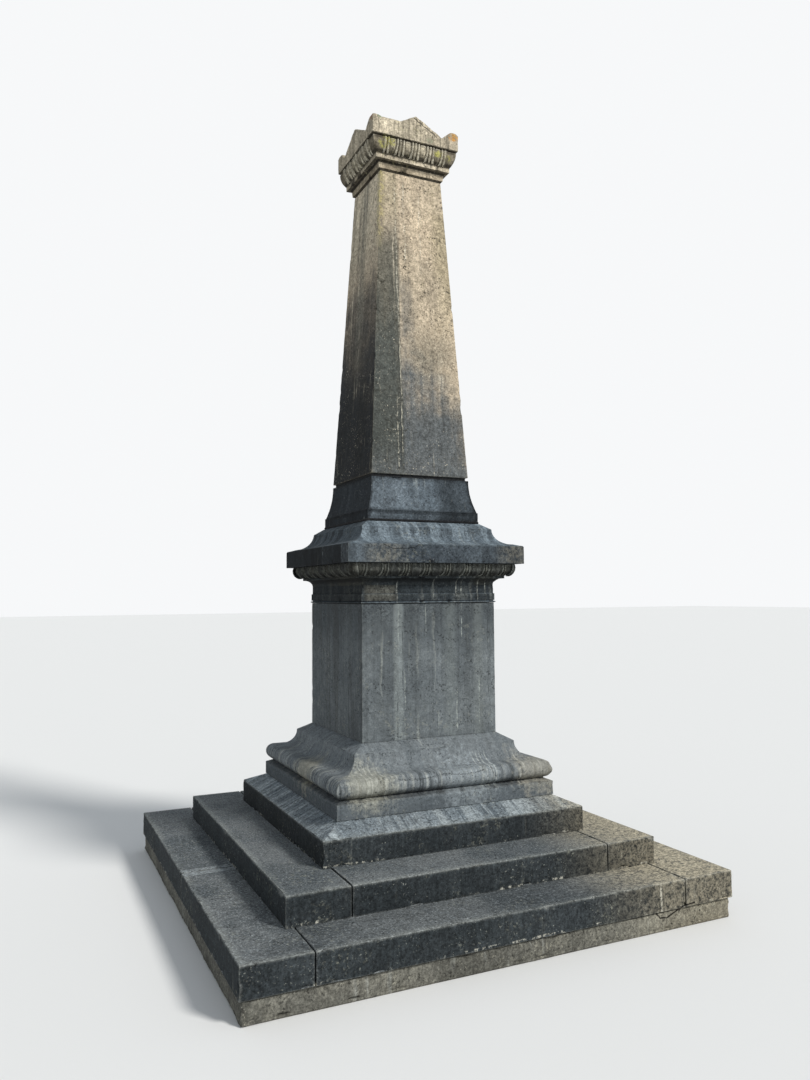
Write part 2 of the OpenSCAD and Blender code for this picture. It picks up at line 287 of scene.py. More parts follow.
STEP_NODES = [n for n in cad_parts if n.startswith(("lower_step", "upper_step"))]
# How far each stone keeps back from its joints
JOINT = 0.0015
CORE_CELL = 0.06
FOOTING_CELL = 0.03
FOOTING_ARRIS = 0.012


def make_steps():
    stones = []
    for node in STEP_NODES:
        low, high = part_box(node)
        low = [low[0] + JOINT, low[1] + JOINT, low[2]]
        high = [high[0] - JOINT, high[1] - JOINT, high[2]]
        plain = node.endswith("core")
        obj = cut_stone(node + "_worn", low, high, CORE_CELL if plain else CELL, ARRIS)
        if not plain:
            wear(obj, 0.0015, 0.0020, 0.012)
        stones.append(put_in_place(obj, node))
    return stones


def make_footing():
    low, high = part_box("footing_course")
    obj = cut_stone("footing_course_rough", low, high, FOOTING_CELL, FOOTING_ARRIS)
    wear(obj, 0.008, 0.008, 0.018, 0.004)
    return put_in_place(obj, "footing_course")


# Outlines of the moulded stones, in metres, as half widths and levels

def node_levels(node):
    """Bed level, top level and half width of a node."""
    low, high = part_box(node)
    return low[2], high[2], high[0]


def stack(bed, heights):
    """The top levels of members that lie one on the other from a bed upwards."""
    levels = []
    for height in heights:
        bed += height
        levels.append(bed)
    return levels


# Height of the plinth's upright face, below its slope
PLINTH_FACE = 0.142


def plinth_outline():
    z0, z1, half = node_levels("plinth_stone")
    top_half = node_levels("base_stone")[2]
    return [(half, z0), (half, z0 + PLINTH_FACE), (top_half - 0.01, z1), (top_half - 0.10, z1)]


# Radii of the roll and of the hollow above it, and heights of the upright face and the slope
BASE_ROLL = 0.054
BASE_HOLLOW = 0.100
BASE_FACE = 0.080
BASE_SLOPE = 0.017
# How far the hollow's arris stands back from the middle of the roll and the hollow's reach
ARRIS_BACK = 0.014


def base_outline():
    z0, z1, half = node_levels("base_stone")
    die_half = node_levels("die_stone")[2]
    roll_x = half - BASE_ROLL
    slope = z0 + BASE_FACE + BASE_SLOPE
    roll_z = slope + 0.001 + BASE_ROLL
    arris_half = half - BASE_ROLL - BASE_HOLLOW - ARRIS_BACK
    hollow_z = roll_z + BASE_ROLL + BASE_HOLLOW
    outline = [(half, z0), (half, z0 + BASE_FACE), (roll_x + 0.012, slope)]
    outline += arc(roll_x, roll_z, BASE_ROLL, -72, 84, 12)
    outline += arc(arris_half + BASE_HOLLOW, hollow_z, BASE_HOLLOW, 266, 180, 10)
    outline += [(arris_half, hollow_z + 0.004), (die_half + 0.001, z1), (die_half - 0.10, z1)]
    return outline


def die_outline():
    z0, z1, half = node_levels("die_stone")
    return [(half, z0 + 0.001), (half, z1 - 0.001)]


# Radii of the round that carries the large eggs and of the hollow under it
BED_ROUND = 0.056
BED_HOLLOW = 0.042
# Heights of roll, lower fascia, upper fascia, hollow, fillet, round and quirk
CORNICE_HEIGHTS = (0.016, 0.044, 0.048, BED_HOLLOW, 0.014, BED_ROUND, 0.020)
# How far the fascias stand back from the die
FASCIA_BACK = 0.003
# How far the round stands out past the edge of the hollow, and what the carving takes off it
ROUND_OUT = 0.011
CARVED_OFF = 0.006


def cornice_outline():
    z0, z1, half = node_levels("cornice_stone")
    die_half = node_levels("die_stone")[2]
    fascia = die_half - FASCIA_BACK
    roll_z = z0 + 0.006
    levels = stack(z0, CORNICE_HEIGHTS)
    low_fascia, high_fascia, hollow, fillet, round_z, band_z, abacus = levels
    fillet_half = fascia + BED_HOLLOW + 0.010
    round_x = fascia + BED_HOLLOW + ROUND_OUT
    outline = [(fascia, z0), (die_half + 0.001, z0 + 0.0015)]
    outline += arc(die_half + 0.003, roll_z, 0.005, -60, 60, 4)
    outline += [(fascia, z0 + 0.0125), (fascia, low_fascia - 0.001),
                (fascia + 0.006, low_fascia), (fascia + 0.006, high_fascia - 0.002),
                (fascia, high_fascia), (fascia, hollow)]
    outline += arc(fascia + BED_HOLLOW, hollow, BED_HOLLOW, 178, 92, 7)
    outline += [(fillet_half, fillet), (fillet_half, round_z - 0.001)]
    outline += arc(round_x - CARVED_OFF, band_z, BED_ROUND - 0.004, -86, 0, 9)
    outline += [(round_x + BED_ROUND - 0.012, abacus - 0.001), (half - 0.001, abacus),
                (half, abacus + 0.002), (half, z1 - 0.004), (half - 0.004, z1), (half - 0.12, z1)]
    return outline


# Radius of the cap's hollow, and how far its edge stands out past the hollow
CAP_HOLLOW = 0.098
CAP_EDGE = 0.047


def cap_outline():
    z0, z1, half = node_levels("cornice_cap")
    foot_half = node_levels("shaft_foot")[2]
    neck = half - CAP_HOLLOW - CAP_EDGE
    hollow_x = neck + CAP_HOLLOW
    low = z0 + 0.014
    outline = [(half - 0.002, z0 + 0.0005), (hollow_x, low)]
    outline += arc(hollow_x, low + CAP_HOLLOW, CAP_HOLLOW, 268, 182, 10)
    outline += [(neck, low + CAP_HOLLOW), (foot_half + 0.008, z1), (foot_half - 0.08, z1)]
    return outline


def bead_outline():
    z0, z1, half = node_levels("pointing_bead")
    radius = (z1 - z0) / 2
    return [(half - 2 * radius, z0)] + arc(half - radius, z0 + radius, radius, -80, 80, 6) + [
        (half - 2 * radius, z1)]


# Height of the upright face under the curved flare of the foot
FOOT_FILLET = 0.054


def foot_outline():
    z0, z1, half = node_levels("shaft_foot")
    top = node_levels("shaft_stone")[2]
    out = half - 0.004 - top
    rise = z1 - z0 - FOOT_FILLET
    radius = (rise * rise + out * out) / (2 * out)
    fillet = z0 + FOOT_FILLET
    outline = [(half, z0), (half, fillet), (half - 0.004, fillet + 0.0005)]
    sweep = math.degrees(math.asin(rise / radius))
    outline += arc(top + radius, z1, radius, 180 + sweep, 180, 10)
    return outline


def joint_outline():
    z0, z1, half = node_levels("shaft_joint")
    return [(half, z0), (half, z1)]


# Half width of the shaft under the capital
SHAFT_TOP_HALF = 0.220


def shaft_outline():
    z0, z1, half = node_levels("shaft_stone")
    return [(half, z0), (SHAFT_TOP_HALF, z1)]


# Height and reach of the swelling that carries the small eggs, and radius of its arc
OVOLO_H = 0.095
OVOLO_REACH = 0.034
OVOLO_RADIUS = (OVOLO_H ** 2 + OVOLO_REACH ** 2) / (2 * OVOLO_REACH)
COVE = 0.016
# Heights of neck, lower band, cove, upper band and swelling
CAPITAL_HEIGHTS = (0.010, 0.034, COVE, 0.029, OVOLO_H)
# How far each band of the capital stands out past the member below it
BAND_OUT = 0.014


def capital_outline():
    z0, z1, _ = node_levels("capital_stone")
    neck = SHAFT_TOP_HALF - 0.003
    fascia = SHAFT_TOP_HALF + BAND_OUT
    band = fascia + COVE + BAND_OUT
    z_fascia, z_cove, z_band, z_egg, z_quirk = stack(z0, CAPITAL_HEIGHTS)
    sweep = math.degrees(math.asin(OVOLO_H / OVOLO_RADIUS))
    outline = [(neck, z0), (neck, z_fascia), (fascia - 0.003, z_fascia + 0.0005), (fascia, z_cove)]
    outline += arc(fascia + COVE, z_cove, COVE, 176, 94, 5)
    outline += [(band, z_band), (band, z_egg)]
    outline += arc(band + OVOLO_REACH - OVOLO_RADIUS, z_quirk, OVOLO_RADIUS, -sweep * 0.97, 0, 9)
    quirk = band + OVOLO_REACH - 0.012
    outline += [(quirk, z_quirk + 0.0005), (quirk, z1)]
    return outline


# Node, outline, finish, width of its eased arrises, and depths of swells, ragged edges and chips
MOULDED = [
    ("plinth_stone", plinth_outline, "step_stone", 0.004, (0.0015, 0.0018, 0.010)),
    ("base_stone", base_outline, "die_limestone", 0.002, (0.0015, 0.001, 0.007)),
    ("die_stone", die_outline, "die_limestone", 0.002, (0.0008, 0.0008, 0.005)),
    ("cornice_stone", cornice_outline, "dark_limestone", 0.0012, (0.0008, 0.0006, 0.006)),
    ("cornice_cap", cap_outline, "dark_limestone", 0.002, (0.0015, 0.001, 0.006)),
    ("pointing_bead", bead_outline, "pointing", 0, (0.002, 0.002, 0.003)),
    ("shaft_foot", foot_outline, "foot_limestone", 0.002, (0.001, 0.001, 0.006)),
    # the dark finish on the shaft joint is painted shade in the groove between foot and shaft
    ("shaft_joint", joint_outline, "pointing", 0, (0.001, 0.001, 0)),
    ("shaft_stone", shaft_outline, "shaft_limestone", 0.003, (0.001, 0.0012, 0.008)),
    ("capital_stone", capital_outline, "warm_limestone", 0.0012, (0.0006, 0.0006, 0.005)),
]


def make_moulded_stones():
    stones = {}
    for node, outline, finish, arris, depths in MOULDED:
        obj = moulded_stone(node + "_worn", outline(), arris)
        wear(obj, *depths)
        stones[node] = put_in_place(obj, node)
    return stones


# Carved rows

def copy_piece(obj, turn):
    """A copy with its own mesh, moved by the matrix."""
    twin = obj.copy()
    twin.data = obj.data.copy()
    bpy.context.collection.objects.link(twin)
    twin.data.transform(turn)
    return twin


# Lengths of an egg and a dart, and how far eggs and rims rise, as shares of the row's height
EGG_LENGTH = 1.46
DART_LENGTH = 1.05
EGG_RISE = 0.21
SHELL_RISE = 0.30
# Levels, as shares of the height, below which an egg narrows, each time to this share of itself
EGG_TAPER = (-0.10, -0.24, -0.36)
NARROWED = 0.94
# How far a corner egg stands out past the meeting of the sides, in spacings
CORNER_OUT = 0.10
# Depth of the wear of the carvings, in metres
CARVING_WEAR = 0.0012


def carve_egg(pitch, height, width, relief):
    """A tall oval whose widest part is near its top; the member above cuts it."""
    size = (pitch * width, pitch * relief, height * EGG_LENGTH)
    egg = plain_form(bpy.ops.mesh.primitive_uv_sphere_add, size, height * EGG_RISE,
                     segments=16, ring_count=12, radius=0.5)
    open_mesh()
    bpy.ops.mesh.select_mode(type="VERT")
    for share in EGG_TAPER:
        bpy.ops.mesh.select_all(action="DESELECT")
        mesh = bmesh.from_edit_mesh(egg.data)
        for vert in mesh.verts:
            vert.select_set(vert.co.z < share * height)
        bmesh.update_edit_mesh(egg.data)
        bpy.ops.transform.resize(value=(NARROWED, 1, 1), center_override=(0, 0, 0))
    close_mesh()
    return egg


def carve_shell(pitch, height, width, stout, length, relief):
    """The rim round an egg, open at its top, nearly touching its neighbours."""
    size = (pitch * width, height * length, relief / stout)
    return plain_form(bpy.ops.mesh.primitive_torus_add, size, height * SHELL_RISE,
                      major_segments=40, minor_segments=6, major_radius=0.5,
                      minor_radius=stout, rotation=(math.radians(90), 0, 0))


def carve_dart(pitch, height, foot, head):
    """A narrow tongue between two shells, pointed at its foot and broad at its top."""
    dart = plain_form(bpy.ops.mesh.primitive_cone_add, vertices=8, radius1=pitch * foot,
                      radius2=pitch * head, depth=height * DART_LENGTH)
    open_mesh()
    bpy.ops.mesh.subdivide(number_cuts=5)
    close_mesh()
    return dart


def mark_carving(obj, name):
    """A point attribute by which the finish tells eggs from rims and darts."""
    layer = obj.data.attributes.new(name, "FLOAT", "POINT")
    layer.data.foreach_set("value", [1.0] * len(obj.data.vertices))


def wrap_on_round(obj, centre, level, radius, middle):
    """Lays a carving, drawn upright on the plane Y = 0, on the round face of a moulding.

    The face is given by its centre's distance from the axis, its centre's level, its radius and
    the angle at which the middle of the carving lies."""
    for vert in obj.data.vertices:
        angle = middle - vert.co.z / radius
        reach = radius - vert.co.y
        vert.co.y = -(centre + reach * math.cos(angle))
        vert.co.z = level - reach * math.sin(angle)
    obj.data.update()


CARVERS = {"egg": carve_egg, "shell": carve_shell, "dart": carve_dart, "corner": carve_egg}
# Each carving's sizes as shares of the spacing: width and relief of an egg, width and thickness
# of a rim with its length as a share of the height and its relief in metres, and the half widths
# of a dart at its foot and head
LARGE_FORMS = {"egg": (0.44, 0.15), "shell": (0.74, 0.048, 2.8, 0.008), "dart": (0.016, 0.050),
               "corner": (0.48, 0.15)}
SMALL_FORMS = {"egg": (0.36, 0.11), "shell": (0.60, 0.105, 2.7, 0.012), "dart": (0.055, 0.100),
               "corner": (0.66, 0.15)}


def set_out(patterns, count, pitch):
    """Copies of the carvings along all four sides, with an egg over every corner."""
    copies = []
    for side in range(4):
        face = Matrix.Rotation(math.radians(90 * side), 4, "Z")
        for i in range(count):
            place = face @ Matrix.Translation(((i - (count - 1) / 2) * pitch, 0, 0))
            copies += [copy_piece(patterns[label], place) for label in ("egg", "shell")]
        for i in range(count + 1):
            place = face @ Matrix.Translation(((i - count / 2) * pitch, 0, 0))
            copies.append(copy_piece(patterns["dart"], place))
        corner = face @ Matrix.Rotation(math.radians(-45), 4, "Z")
        copies.append(copy_piece(patterns["corner"], corner))
    return copies


def join_pieces(pieces):
    deselect()
    for piece in pieces:
        piece.select_set(True)
    bpy.context.view_layer.objects.active = pieces[0]
    bpy.ops.object.join()
    return bpy.context.object


def cut_level(row, low, high):
    """Cuts off what stands under one level and over another."""
    pick(row)
    open_mesh()
    for level, above in ((high, True), (low, False)):
        select_all()
        bpy.ops.mesh.bisect(plane_co=(0, 0, level), plane_no=(0, 0, 1), use_fill=True,
                            clear_outer=above, clear_inner=not above)
    close_mesh()


def carved_row(name, forms, count, pitch, height, ground, limits):
    """A row of eggs, rims and darts on a round ground, between two levels."""
    centre, *round_face = ground
    patterns = {label: carver(pitch, height, *forms[label]) for label, carver in CARVERS.items()}
    for label, pattern in patterns.items():
        mark_carving(pattern, "rim" if label in ("shell", "dart") else "egg")
        out = centre * math.sqrt(2) + pitch * CORNER_OUT if label == "corner" else centre
        wrap_on_round(pattern, out, *round_face)
    row = join_pieces(set_out(patterns, count, pitch))
    for pattern in patterns.values():
        bpy.data.objects.remove(pattern, do_unlink=True)
    cut_level(row, *limits)
    push(row, RAGGED, CARVING_WEAR)
    bpy.ops.object.shade_smooth_by_angle(angle=math.radians(50))
    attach(name_piece(row, name), "root")
    return row


LARGE_EGGS = 7
SMALL_EGGS = 4
# Length of the small row in spacings of its eggs
SMALL_SPACINGS = 5.5
# Heights of the rows, in metres, before they are cut level
LARGE_HEIGHT = 0.092
SMALL_HEIGHT = 0.098


def make_carved_rows():
    round_z, level = stack(node_levels("cornice_stone")[0], CORNICE_HEIGHTS)[4:6]
    centre = node_levels("die_stone")[2] - FASCIA_BACK + BED_HOLLOW + ROUND_OUT - CARVED_OFF
    pitch = 2 * (centre + BED_ROUND - CARVED_OFF) / (LARGE_EGGS + 1)
    ground = (centre, level, BED_ROUND - 0.002, math.radians(40))
    large = carved_row("cornice_egg_row", LARGE_FORMS, LARGE_EGGS, pitch,
                       LARGE_HEIGHT, ground, (round_z - 0.001, level + 0.019))
    egg_z, quirk_z = stack(node_levels("capital_stone")[0], CAPITAL_HEIGHTS)[3:]
    egg_half = SHAFT_TOP_HALF + BAND_OUT + COVE + BAND_OUT + OVOLO_REACH
    pitch = 2 * (egg_half - 0.004) / SMALL_SPACINGS
    ground = (egg_half - OVOLO_RADIUS, quirk_z, OVOLO_RADIUS,
              math.asin(OVOLO_H / OVOLO_RADIUS) * 0.47)
    small = carved_row("capital_egg_row", SMALL_FORMS, SMALL_EGGS, pitch,
                       SMALL_HEIGHT, ground, (egg_z + 0.0005, quirk_z - 0.0015))
    return large, small


def make_crown():
    """The crown stone, worn from the squared form of its node."""
    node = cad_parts["crown_stone"]
    crown = node.copy()
    crown.data = node.data.copy()
    crown.parent = None
    bpy.context.collection.objects.link(crown)
    crown.hide_render = False
    pick(crown)
    open_mesh()
    bpy.ops.mesh.remove_doubles(threshold=MERGED)
    mend_normals()
    close_mesh()
    apply_modifier(crown, "even grain", "REMESH", mode="VOXEL", voxel_size=0.0055)
    apply_modifier(crown, "weathered", "SMOOTH", factor=0.5, iterations=3)
    mark_arrises(crown, math.radians(24), 0.0)
    push(crown, SWELL, 0.003)
    push(crown, PITTED, 0.0015)
    push(crown, RAGGED, 0.004, "arrises")
    push(crown, CHIPS, 0.010, "arrises")
    crown.vertex_groups.clear()
    bpy.ops.object.shade_smooth_by_angle(angle=math.radians(40))
    return put_in_place(name_piece(crown, "crown_stone_worn"), "crown_stone")


steps = make_steps()
footing = make_footing()
moulded = make_moulded_stones()
egg_rows = make_carved_rows()
crown = make_crown()


# Materials

def rgb(r, g, b):
    """A colour given as the 0 to 255 numbers of a screen, as the linear values of a shader."""
    return tuple(((c / 255) / 12.92 if c <= 10 else ((c / 255 + 0.055) / 1.055) ** 2.4)
                 for c in (r, g, b)) + (1.0,)


class Sketch:
    """Short hand for wiring one node tree."""

    def __init__(self, tree):
        self.tree = tree

    def add(self, kind, **values):
        node = self.tree.nodes.new(kind)
        for key, value in values.items():
            setattr(node, key, value)
        return node

    def wire(self, source, target):
        self.tree.links.new(source, target)

    def set(self, socket, value):
        """Wires a socket to another, or gives it a plain value."""
        if hasattr(value, "is_output"):
            self.wire(value, socket)
        else:
            socket.default_value = value

    def feed(self, node, **values):
        """Sets the named sockets of a node, written with _ for a space."""
        for name, value in values.items():
            self.set(node.inputs[name.replace("_", " ")], value)

    def math(self, operation, a, b=0.5, clamp=False):
        node = self.add("ShaderNodeMath", operation=operation, use_clamp=clamp)
        self.set(node.inputs[0], a)
        self.set(node.inputs[1], b)
        return node.outputs[0]

    def plus(self, a, b):
        return self.math("ADD", a, b)

    def minus(self, a, b):
        return self.math("SUBTRACT", a, b)

    def rest(self, mask):
        """What a mask leaves."""
        return self.math("SUBTRACT", 1.0, mask)

    def absolute(self, value):
        return self.math("ABSOLUTE", value)

    def times(self, *masks):
        result = masks[0]
        for mask in masks[1:]:
            result = self.math("MULTIPLY", result, mask)
        return result

    def split(self, vector):
        node = self.add("ShaderNodeSeparateXYZ")
        self.wire(vector, node.inputs[0])
        return node.outputs

    def point(self, **axes):
        node = self.add("ShaderNodeCombineXYZ")
        self.feed(node, **axes)
        return node.outputs[0]

    def move(self, vector, by):
        node = self.add("ShaderNodeVectorMath", operation="ADD")
        self.wire(vector, node.inputs[0])
        self.wire(by, node.inputs[1])
        return node.outputs[0]

    def stretch(self, vector, scale, location=(0, 0, 0)):
        node = self.add("ShaderNodeMapping")
        self.feed(node, Vector=vector, Scale=scale, Location=location)
        return node.outputs["Vector"]

    def noise(self, vector, scale, detail, rough, bend=0.0):
        node = self.add("ShaderNodeTexNoise")
        self.feed(node, Vector=vector, Scale=scale, Detail=detail, Roughness=rough, Distortion=bend)
        return node.outputs["Fac"]

    def step(self, value, low, high):
        """A mask that rises softly from 0 at one value to 1 at another."""
        node = self.add("ShaderNodeMapRange", interpolation_type="SMOOTHSTEP")
        self.feed(node, Value=value, From_Min=low, From_Max=high)
        return node.outputs["Result"]

    def patches(self, vector, scale, detail, rough, low, high, bend=0.0):
        """A mask of patches, where a noise lies above a value."""
        return self.step(self.noise(vector, scale, detail, rough, bend), low, high)

    def mix(self, factor, a, b, blend="MIX"):
        node = self.add("ShaderNodeMix", data_type="RGBA", blend_type=blend)
        self.set(node.inputs[0], factor)
        self.set(node.inputs[6], a)
        self.set(node.inputs[7], b)
        return node.outputs[2]


def stone_group():
    """Masks and height of weathered stone: mottling, rain streaks, drips, crust, lichen, wear, and
    the creases and undersides on which the finishes paint shade.
    """
    group = bpy.data.node_groups.new("weathered stone", "ShaderNodeTree")
    group.interface.new_socket(name="Shift", in_out="INPUT", socket_type="NodeSocketFloat")
    s = Sketch(group)
    shift = s.add("NodeGroupInput").outputs["Shift"]
    own = s.add("ShaderNodeTexCoord").outputs["Object"]
    place = s.move(own, shift)
    # distance along a side and outwards from the axis, so that streaks run down the mouldings
    x, y, z = s.split(own)
    wide = s.absolute(x)
    deep = s.absolute(y)
    front = s.math("GREATER_THAN", deep, wide)
    side = s.rest(front)
    along = s.plus(s.times(x, front), s.times(y, side))
    outward = s.plus(s.times(y, front), s.times(x, side))
    down = s.minus(z, s.math("MAXIMUM", wide, deep))
    # each side of the stone has streaks of its own
    facing = s.plus(s.times(front, 3.7), shift)
    facing = s.plus(facing, s.times(s.math("GREATER_THAN", outward, 0.0), 9.1))
    flow = s.point(X=along, Y=facing, Z=down)
    bent = s.move(flow, s.point(X=s.times(s.noise(place, 9, 2, 0.5), 0.035)))
    elsewhere = s.stretch(place, (1, 1, 1), (4.1, 2.2, 7.3))
    pale_runs = s.stretch(bent, (26.0, 1.0, 0.9))
    dark_runs = s.stretch(bent, (17.0, 1.0, 0.7), (5.3, 0, 2.1))
    mottle = s.noise(place, 34, 8, 0.68)
    fine = s.noise(place, 190, 4, 0.7)
    pit = s.times(s.patches(place, 78, 3, 0.6, 0.57, 0.65), s.patches(place, 9, 4, 0.6, 0.38, 0.60))
    shape = s.add("ShaderNodeNewGeometry").outputs
    up = s.split(shape["Normal"])["Z"]
    relief = s.plus(s.times(mottle, 0.0016), s.times(fine, 0.0007))
    masks = {
        "Blotch": s.noise(place, 2.4, 7, 0.62, 0.4),
        "Mottle": mottle,
        "Grain": s.noise(place, 95, 5, 0.8),
        "Dribble": s.noise(s.stretch(flow, (62.0, 1.0, 9.0)), 1.0, 4, 0.7),
        "Comb": s.noise(s.stretch(flow, (44.0, 1.0, 1.3), (1.7, 0, 3.9)), 1.0, 4, 0.62),
        "Streak": s.noise(s.stretch(flow, (7.5, 1.0, 0.42)), 1.5, 6, 0.62, 0.25),
        "Bright speck": s.times(s.patches(elsewhere, 88, 3, 0.6, 0.63, 0.70),
                                s.patches(place, 5.0, 3, 0.6, 0.40, 0.60)),
        "Pale drip": s.times(s.patches(pale_runs, 1.3, 3, 0.5, 0.60, 0.70),
                             s.patches(place, 2.1, 3, 0.6, 0.46, 0.60)),
        "Dark drip": s.times(s.patches(dark_runs, 1.3, 4, 0.55, 0.58, 0.74),
                             s.patches(place, 1.6, 3, 0.6, 0.44, 0.60)),
        "Pit": pit,
        "Crust": s.patches(place, 1.5, 8, 0.66, 0.47, 0.60, 0.5),
        "Lichen": s.times(s.patches(place, 42, 5, 0.75, 0.55, 0.62),
                          s.patches(place, 3.6, 4, 0.55, 0.50, 0.62)),
        "Worn edge": s.step(shape["Pointiness"], 0.515, 0.58),
        # creases and undersides, which the finishes darken as painted shade
        "Crevice shade": s.rest(s.step(shape["Pointiness"], 0.43, 0.492)),
        "Level": s.step(up, 0.25, 0.80),
        "Soffit shade": s.step(s.times(up, -1.0), 0.20, 0.70),
        "Height": s.minus(relief, s.times(pit, 0.0016)),
    }
    for label in masks:
        group.interface.new_socket(name=label, in_out="OUTPUT", socket_type="NodeSocketFloat")
    end = s.add("NodeGroupOutput")
    for label, mask in masks.items():
        s.wire(mask, end.inputs[label])
    return group


STONE = stone_group()


# How dark the pits are beside the stone's darkest colour
PIT_SHADOW = 0.4
LOWEST_ROUGHNESS = 0.78
GLOSS = 0.10


class Finish(Sketch):
    """One weathered stone: its own colours, how much of each kind of weathering it shows, and the
    light and shade painted on it.
    """

    def __init__(self, name, light, mid, dark, shift):
        self.material = bpy.data.materials.new(name)
        self.material.use_nodes = True
        super().__init__(self.material.node_tree)
        self.shader = self.tree.nodes["Principled BSDF"]
        stone = self.add("ShaderNodeGroup", node_tree=STONE)
        stone.inputs["Shift"].default_value = shift
        self.out = stone.outputs
        self.dark = rgb(*dark)
        self.place = self.add("ShaderNodeTexCoord").outputs["Object"]
        self.x, self.y, self.z = self.split(self.place)
        self.front = self.math("GREATER_THAN", self.times(self.y, -1.0), self.absolute(self.x))
        self.left = self.math("GREATER_THAN", self.times(self.x, -1.0), self.absolute(self.y))
        self.level = self.out["Level"]
        self.upright = self.rest(self.level)
        self.colour = self.mix(self.over("Blotch", 0.34, 0.66), rgb(*mid), rgb(*light))

    def over(self, name, low, high):
        """A mask that rises from 0 to 1 between two values of a mask of the stone."""
        return self.step(self.out[name], low, high)

    def cover(self, mask, amount, colour):
        self.colour = self.mix(self.times(mask, amount), self.colour, colour)

    def gather(self, mask):
        """The mask that a name of the stone's masks or a row of masks stands for."""
        if isinstance(mask, str):
            return self.out[mask]
        return self.times(*mask) if isinstance(mask, tuple) else mask

    def lay(self, mask, amount, colour):
        """Lays a colour over what is there, as thickly as the mask says."""
        self.cover(self.gather(mask), amount, rgb(*colour))

    def mark(self, name):
        """The mask of a point attribute of the piece."""
        return self.add("ShaderNodeAttribute", attribute_name=name).outputs["Fac"]

    def band(self, low, high):
        """A mask that rises from 0 at one level to 1 at another."""
        return self.step(self.z, low, high)

    def below(self, low, high):
        """A mask that falls from 1 at one level to 0 at another."""
        return self.rest(self.band(low, high))

    def between(self, low, high, soft=0.004):
        """A mask that is 1 between two levels."""
        return self.across(self.z, low, high, soft)

    def across(self, value, low, high, soft=0.02):
        """A mask that is 1 where a place lies between two bounds."""
        return self.times(self.step(value, low - soft, low + soft),
                          self.rest(self.step(value, high - soft, high + soft)))

    def vein(self, at, low, high, width, sway, seed, left=False):
        """A thin wandering line down the front or the left side, broken and uneven in width."""
        along, face = (self.y, self.left) if left else (self.x, self.front)
        thread = self.point(X=seed, Z=self.z)
        bend = self.times(self.minus(self.noise(thread, 5.0, 8, 0.72), 0.5), 3 * sway)
        line = self.absolute(self.minus(self.minus(along, at), bend))
        thick = self.times(self.plus(self.out["Grain"], self.out["Mottle"]), width)
        near = self.math("SUBTRACT", 1.0, self.math("DIVIDE", line, thick), True)
        gaps = self.patches(thread, 13.0, 3, 0.6, 0.34, 0.56)
        broken = self.times(gaps, self.over("Mottle", 0.34, 0.56))
        run = self.between(low, high, 0.04)
        return self.times(self.step(near, 0.0, 0.7), broken, run, face)

    def crack(self, points, width, sway=0.012):
        """A broken dark line on the front, through points given across and up the face."""
        height = self.plus(self.z, self.times(self.minus(self.out["Mottle"], 0.5), sway))
        whole = None
        for (x0, z0), (x1, z1) in zip(points, points[1:]):
            slope = (z1 - z0) / (x1 - x0)
            run = self.plus(self.times(self.x, slope), z0 - x0 * slope)
            reach = width * math.hypot(1.0, slope)
            line = self.rest(self.step(self.absolute(self.minus(height, run)), reach * 0.3, reach))
            line = self.times(line, self.across(self.x, x0, x1, 0.003))
            whole = line if whole is None else self.math("MAXIMUM", whole, line)
        return self.times(whole, self.front)

    def spot(self, at, reach, soft):
        """A mask round one point, broken up by the grain of the stone."""
        gap = self.add("ShaderNodeVectorMath", operation="DISTANCE")
        self.wire(self.place, gap.inputs[0])
        gap.inputs[1].default_value = at
        near = self.rest(self.math("DIVIDE", gap.outputs["Value"], reach))
        uneven = self.minus(self.plus(self.out["Mottle"], self.out["Streak"]), 1.0)
        return self.step(self.plus(near, self.times(uneven, 1.6)), 0.30 - soft, 0.30 + soft)

    def dim(self, mask, amount):
        """Darkens the colour where the mask is 1."""
        self.shade(self.gather(mask), 0.0, 1.0, 1.0, amount)

    def shade(self, value, low, high, at_low, at_high):
        """Multiplies the colour by a grey that follows the value."""
        node = self.add("ShaderNodeMapRange", clamp=True)
        self.feed(node, Value=value, From_Min=low, From_Max=high, To_Min=at_low, To_Max=at_high)
        grey = self.add("ShaderNodeCombineColor")
        for socket in list(grey.inputs)[:3]:
            self.wire(node.outputs["Result"], socket)
        self.colour = self.mix(1.0, self.colour, grey.outputs[0], "MULTIPLY")

    def finish(self, bump=1.0, coarse=1.0):
        """Grain, pits and relief, and the wiring to the shader."""
        self.shade(self.out["Mottle"], 0.34, 0.66, 1 - 0.40 * coarse, 1 + 0.34 * coarse)
        self.shade(self.out["Grain"], 0.36, 0.64, 1 - 0.48 * coarse, 1 + 0.40 * coarse)
        shadow = tuple(c * PIT_SHADOW for c in self.dark[:3]) + (1.0,)
        self.cover(self.out["Pit"], 0.72, shadow)
        ridges = self.add("ShaderNodeBump")
        self.feed(ridges, Strength=0.6, Distance=bump, Height=self.out["Height"])
        roughness = self.plus(self.times(self.out["Mottle"], 0.16), LOWEST_ROUGHNESS)
        self.feed(self.shader, Base_Color=self.colour, Roughness=roughness,
                  Normal=ridges.outputs["Normal"], Specular_IOR_Level=GLOSS)
        return self.material


CREVICE_SHADE_AND_CRUST = (38, 41, 44)
CRACK = (14, 14, 13)
LIME = (176, 178, 172)
PALE_LICHEN = (168, 168, 152)
GREEN_LICHEN = (158, 154, 84)
ORANGE_LICHEN = (190, 132, 56)

# Lowest and highest levels of the members that carry colours of their own: stains, and painted
# light and shade
ROLL = (0.700, 0.815)
DIE = (0.967, 1.772)
FASCIAS = (1.790, 1.882)
LARGE_EGG_GROUND = (1.940, 2.010)
ABACUS = (2.014, 2.122)
NECK_BAND = (4.562, 4.596)
SMALL_EGG_GROUND = (4.648, 4.736)
CROWN_BED = 4.745

# Half widths and tops of the steps and of the plinth's face, whose arrises are worn pale
STEP_EDGES = ((1.410, 0.260), (1.115, 0.410), (0.825, 0.552))
# Levels of the beds that show crumbs of mortar
STEP_BEDS = (0.113, 0.262, 0.412)
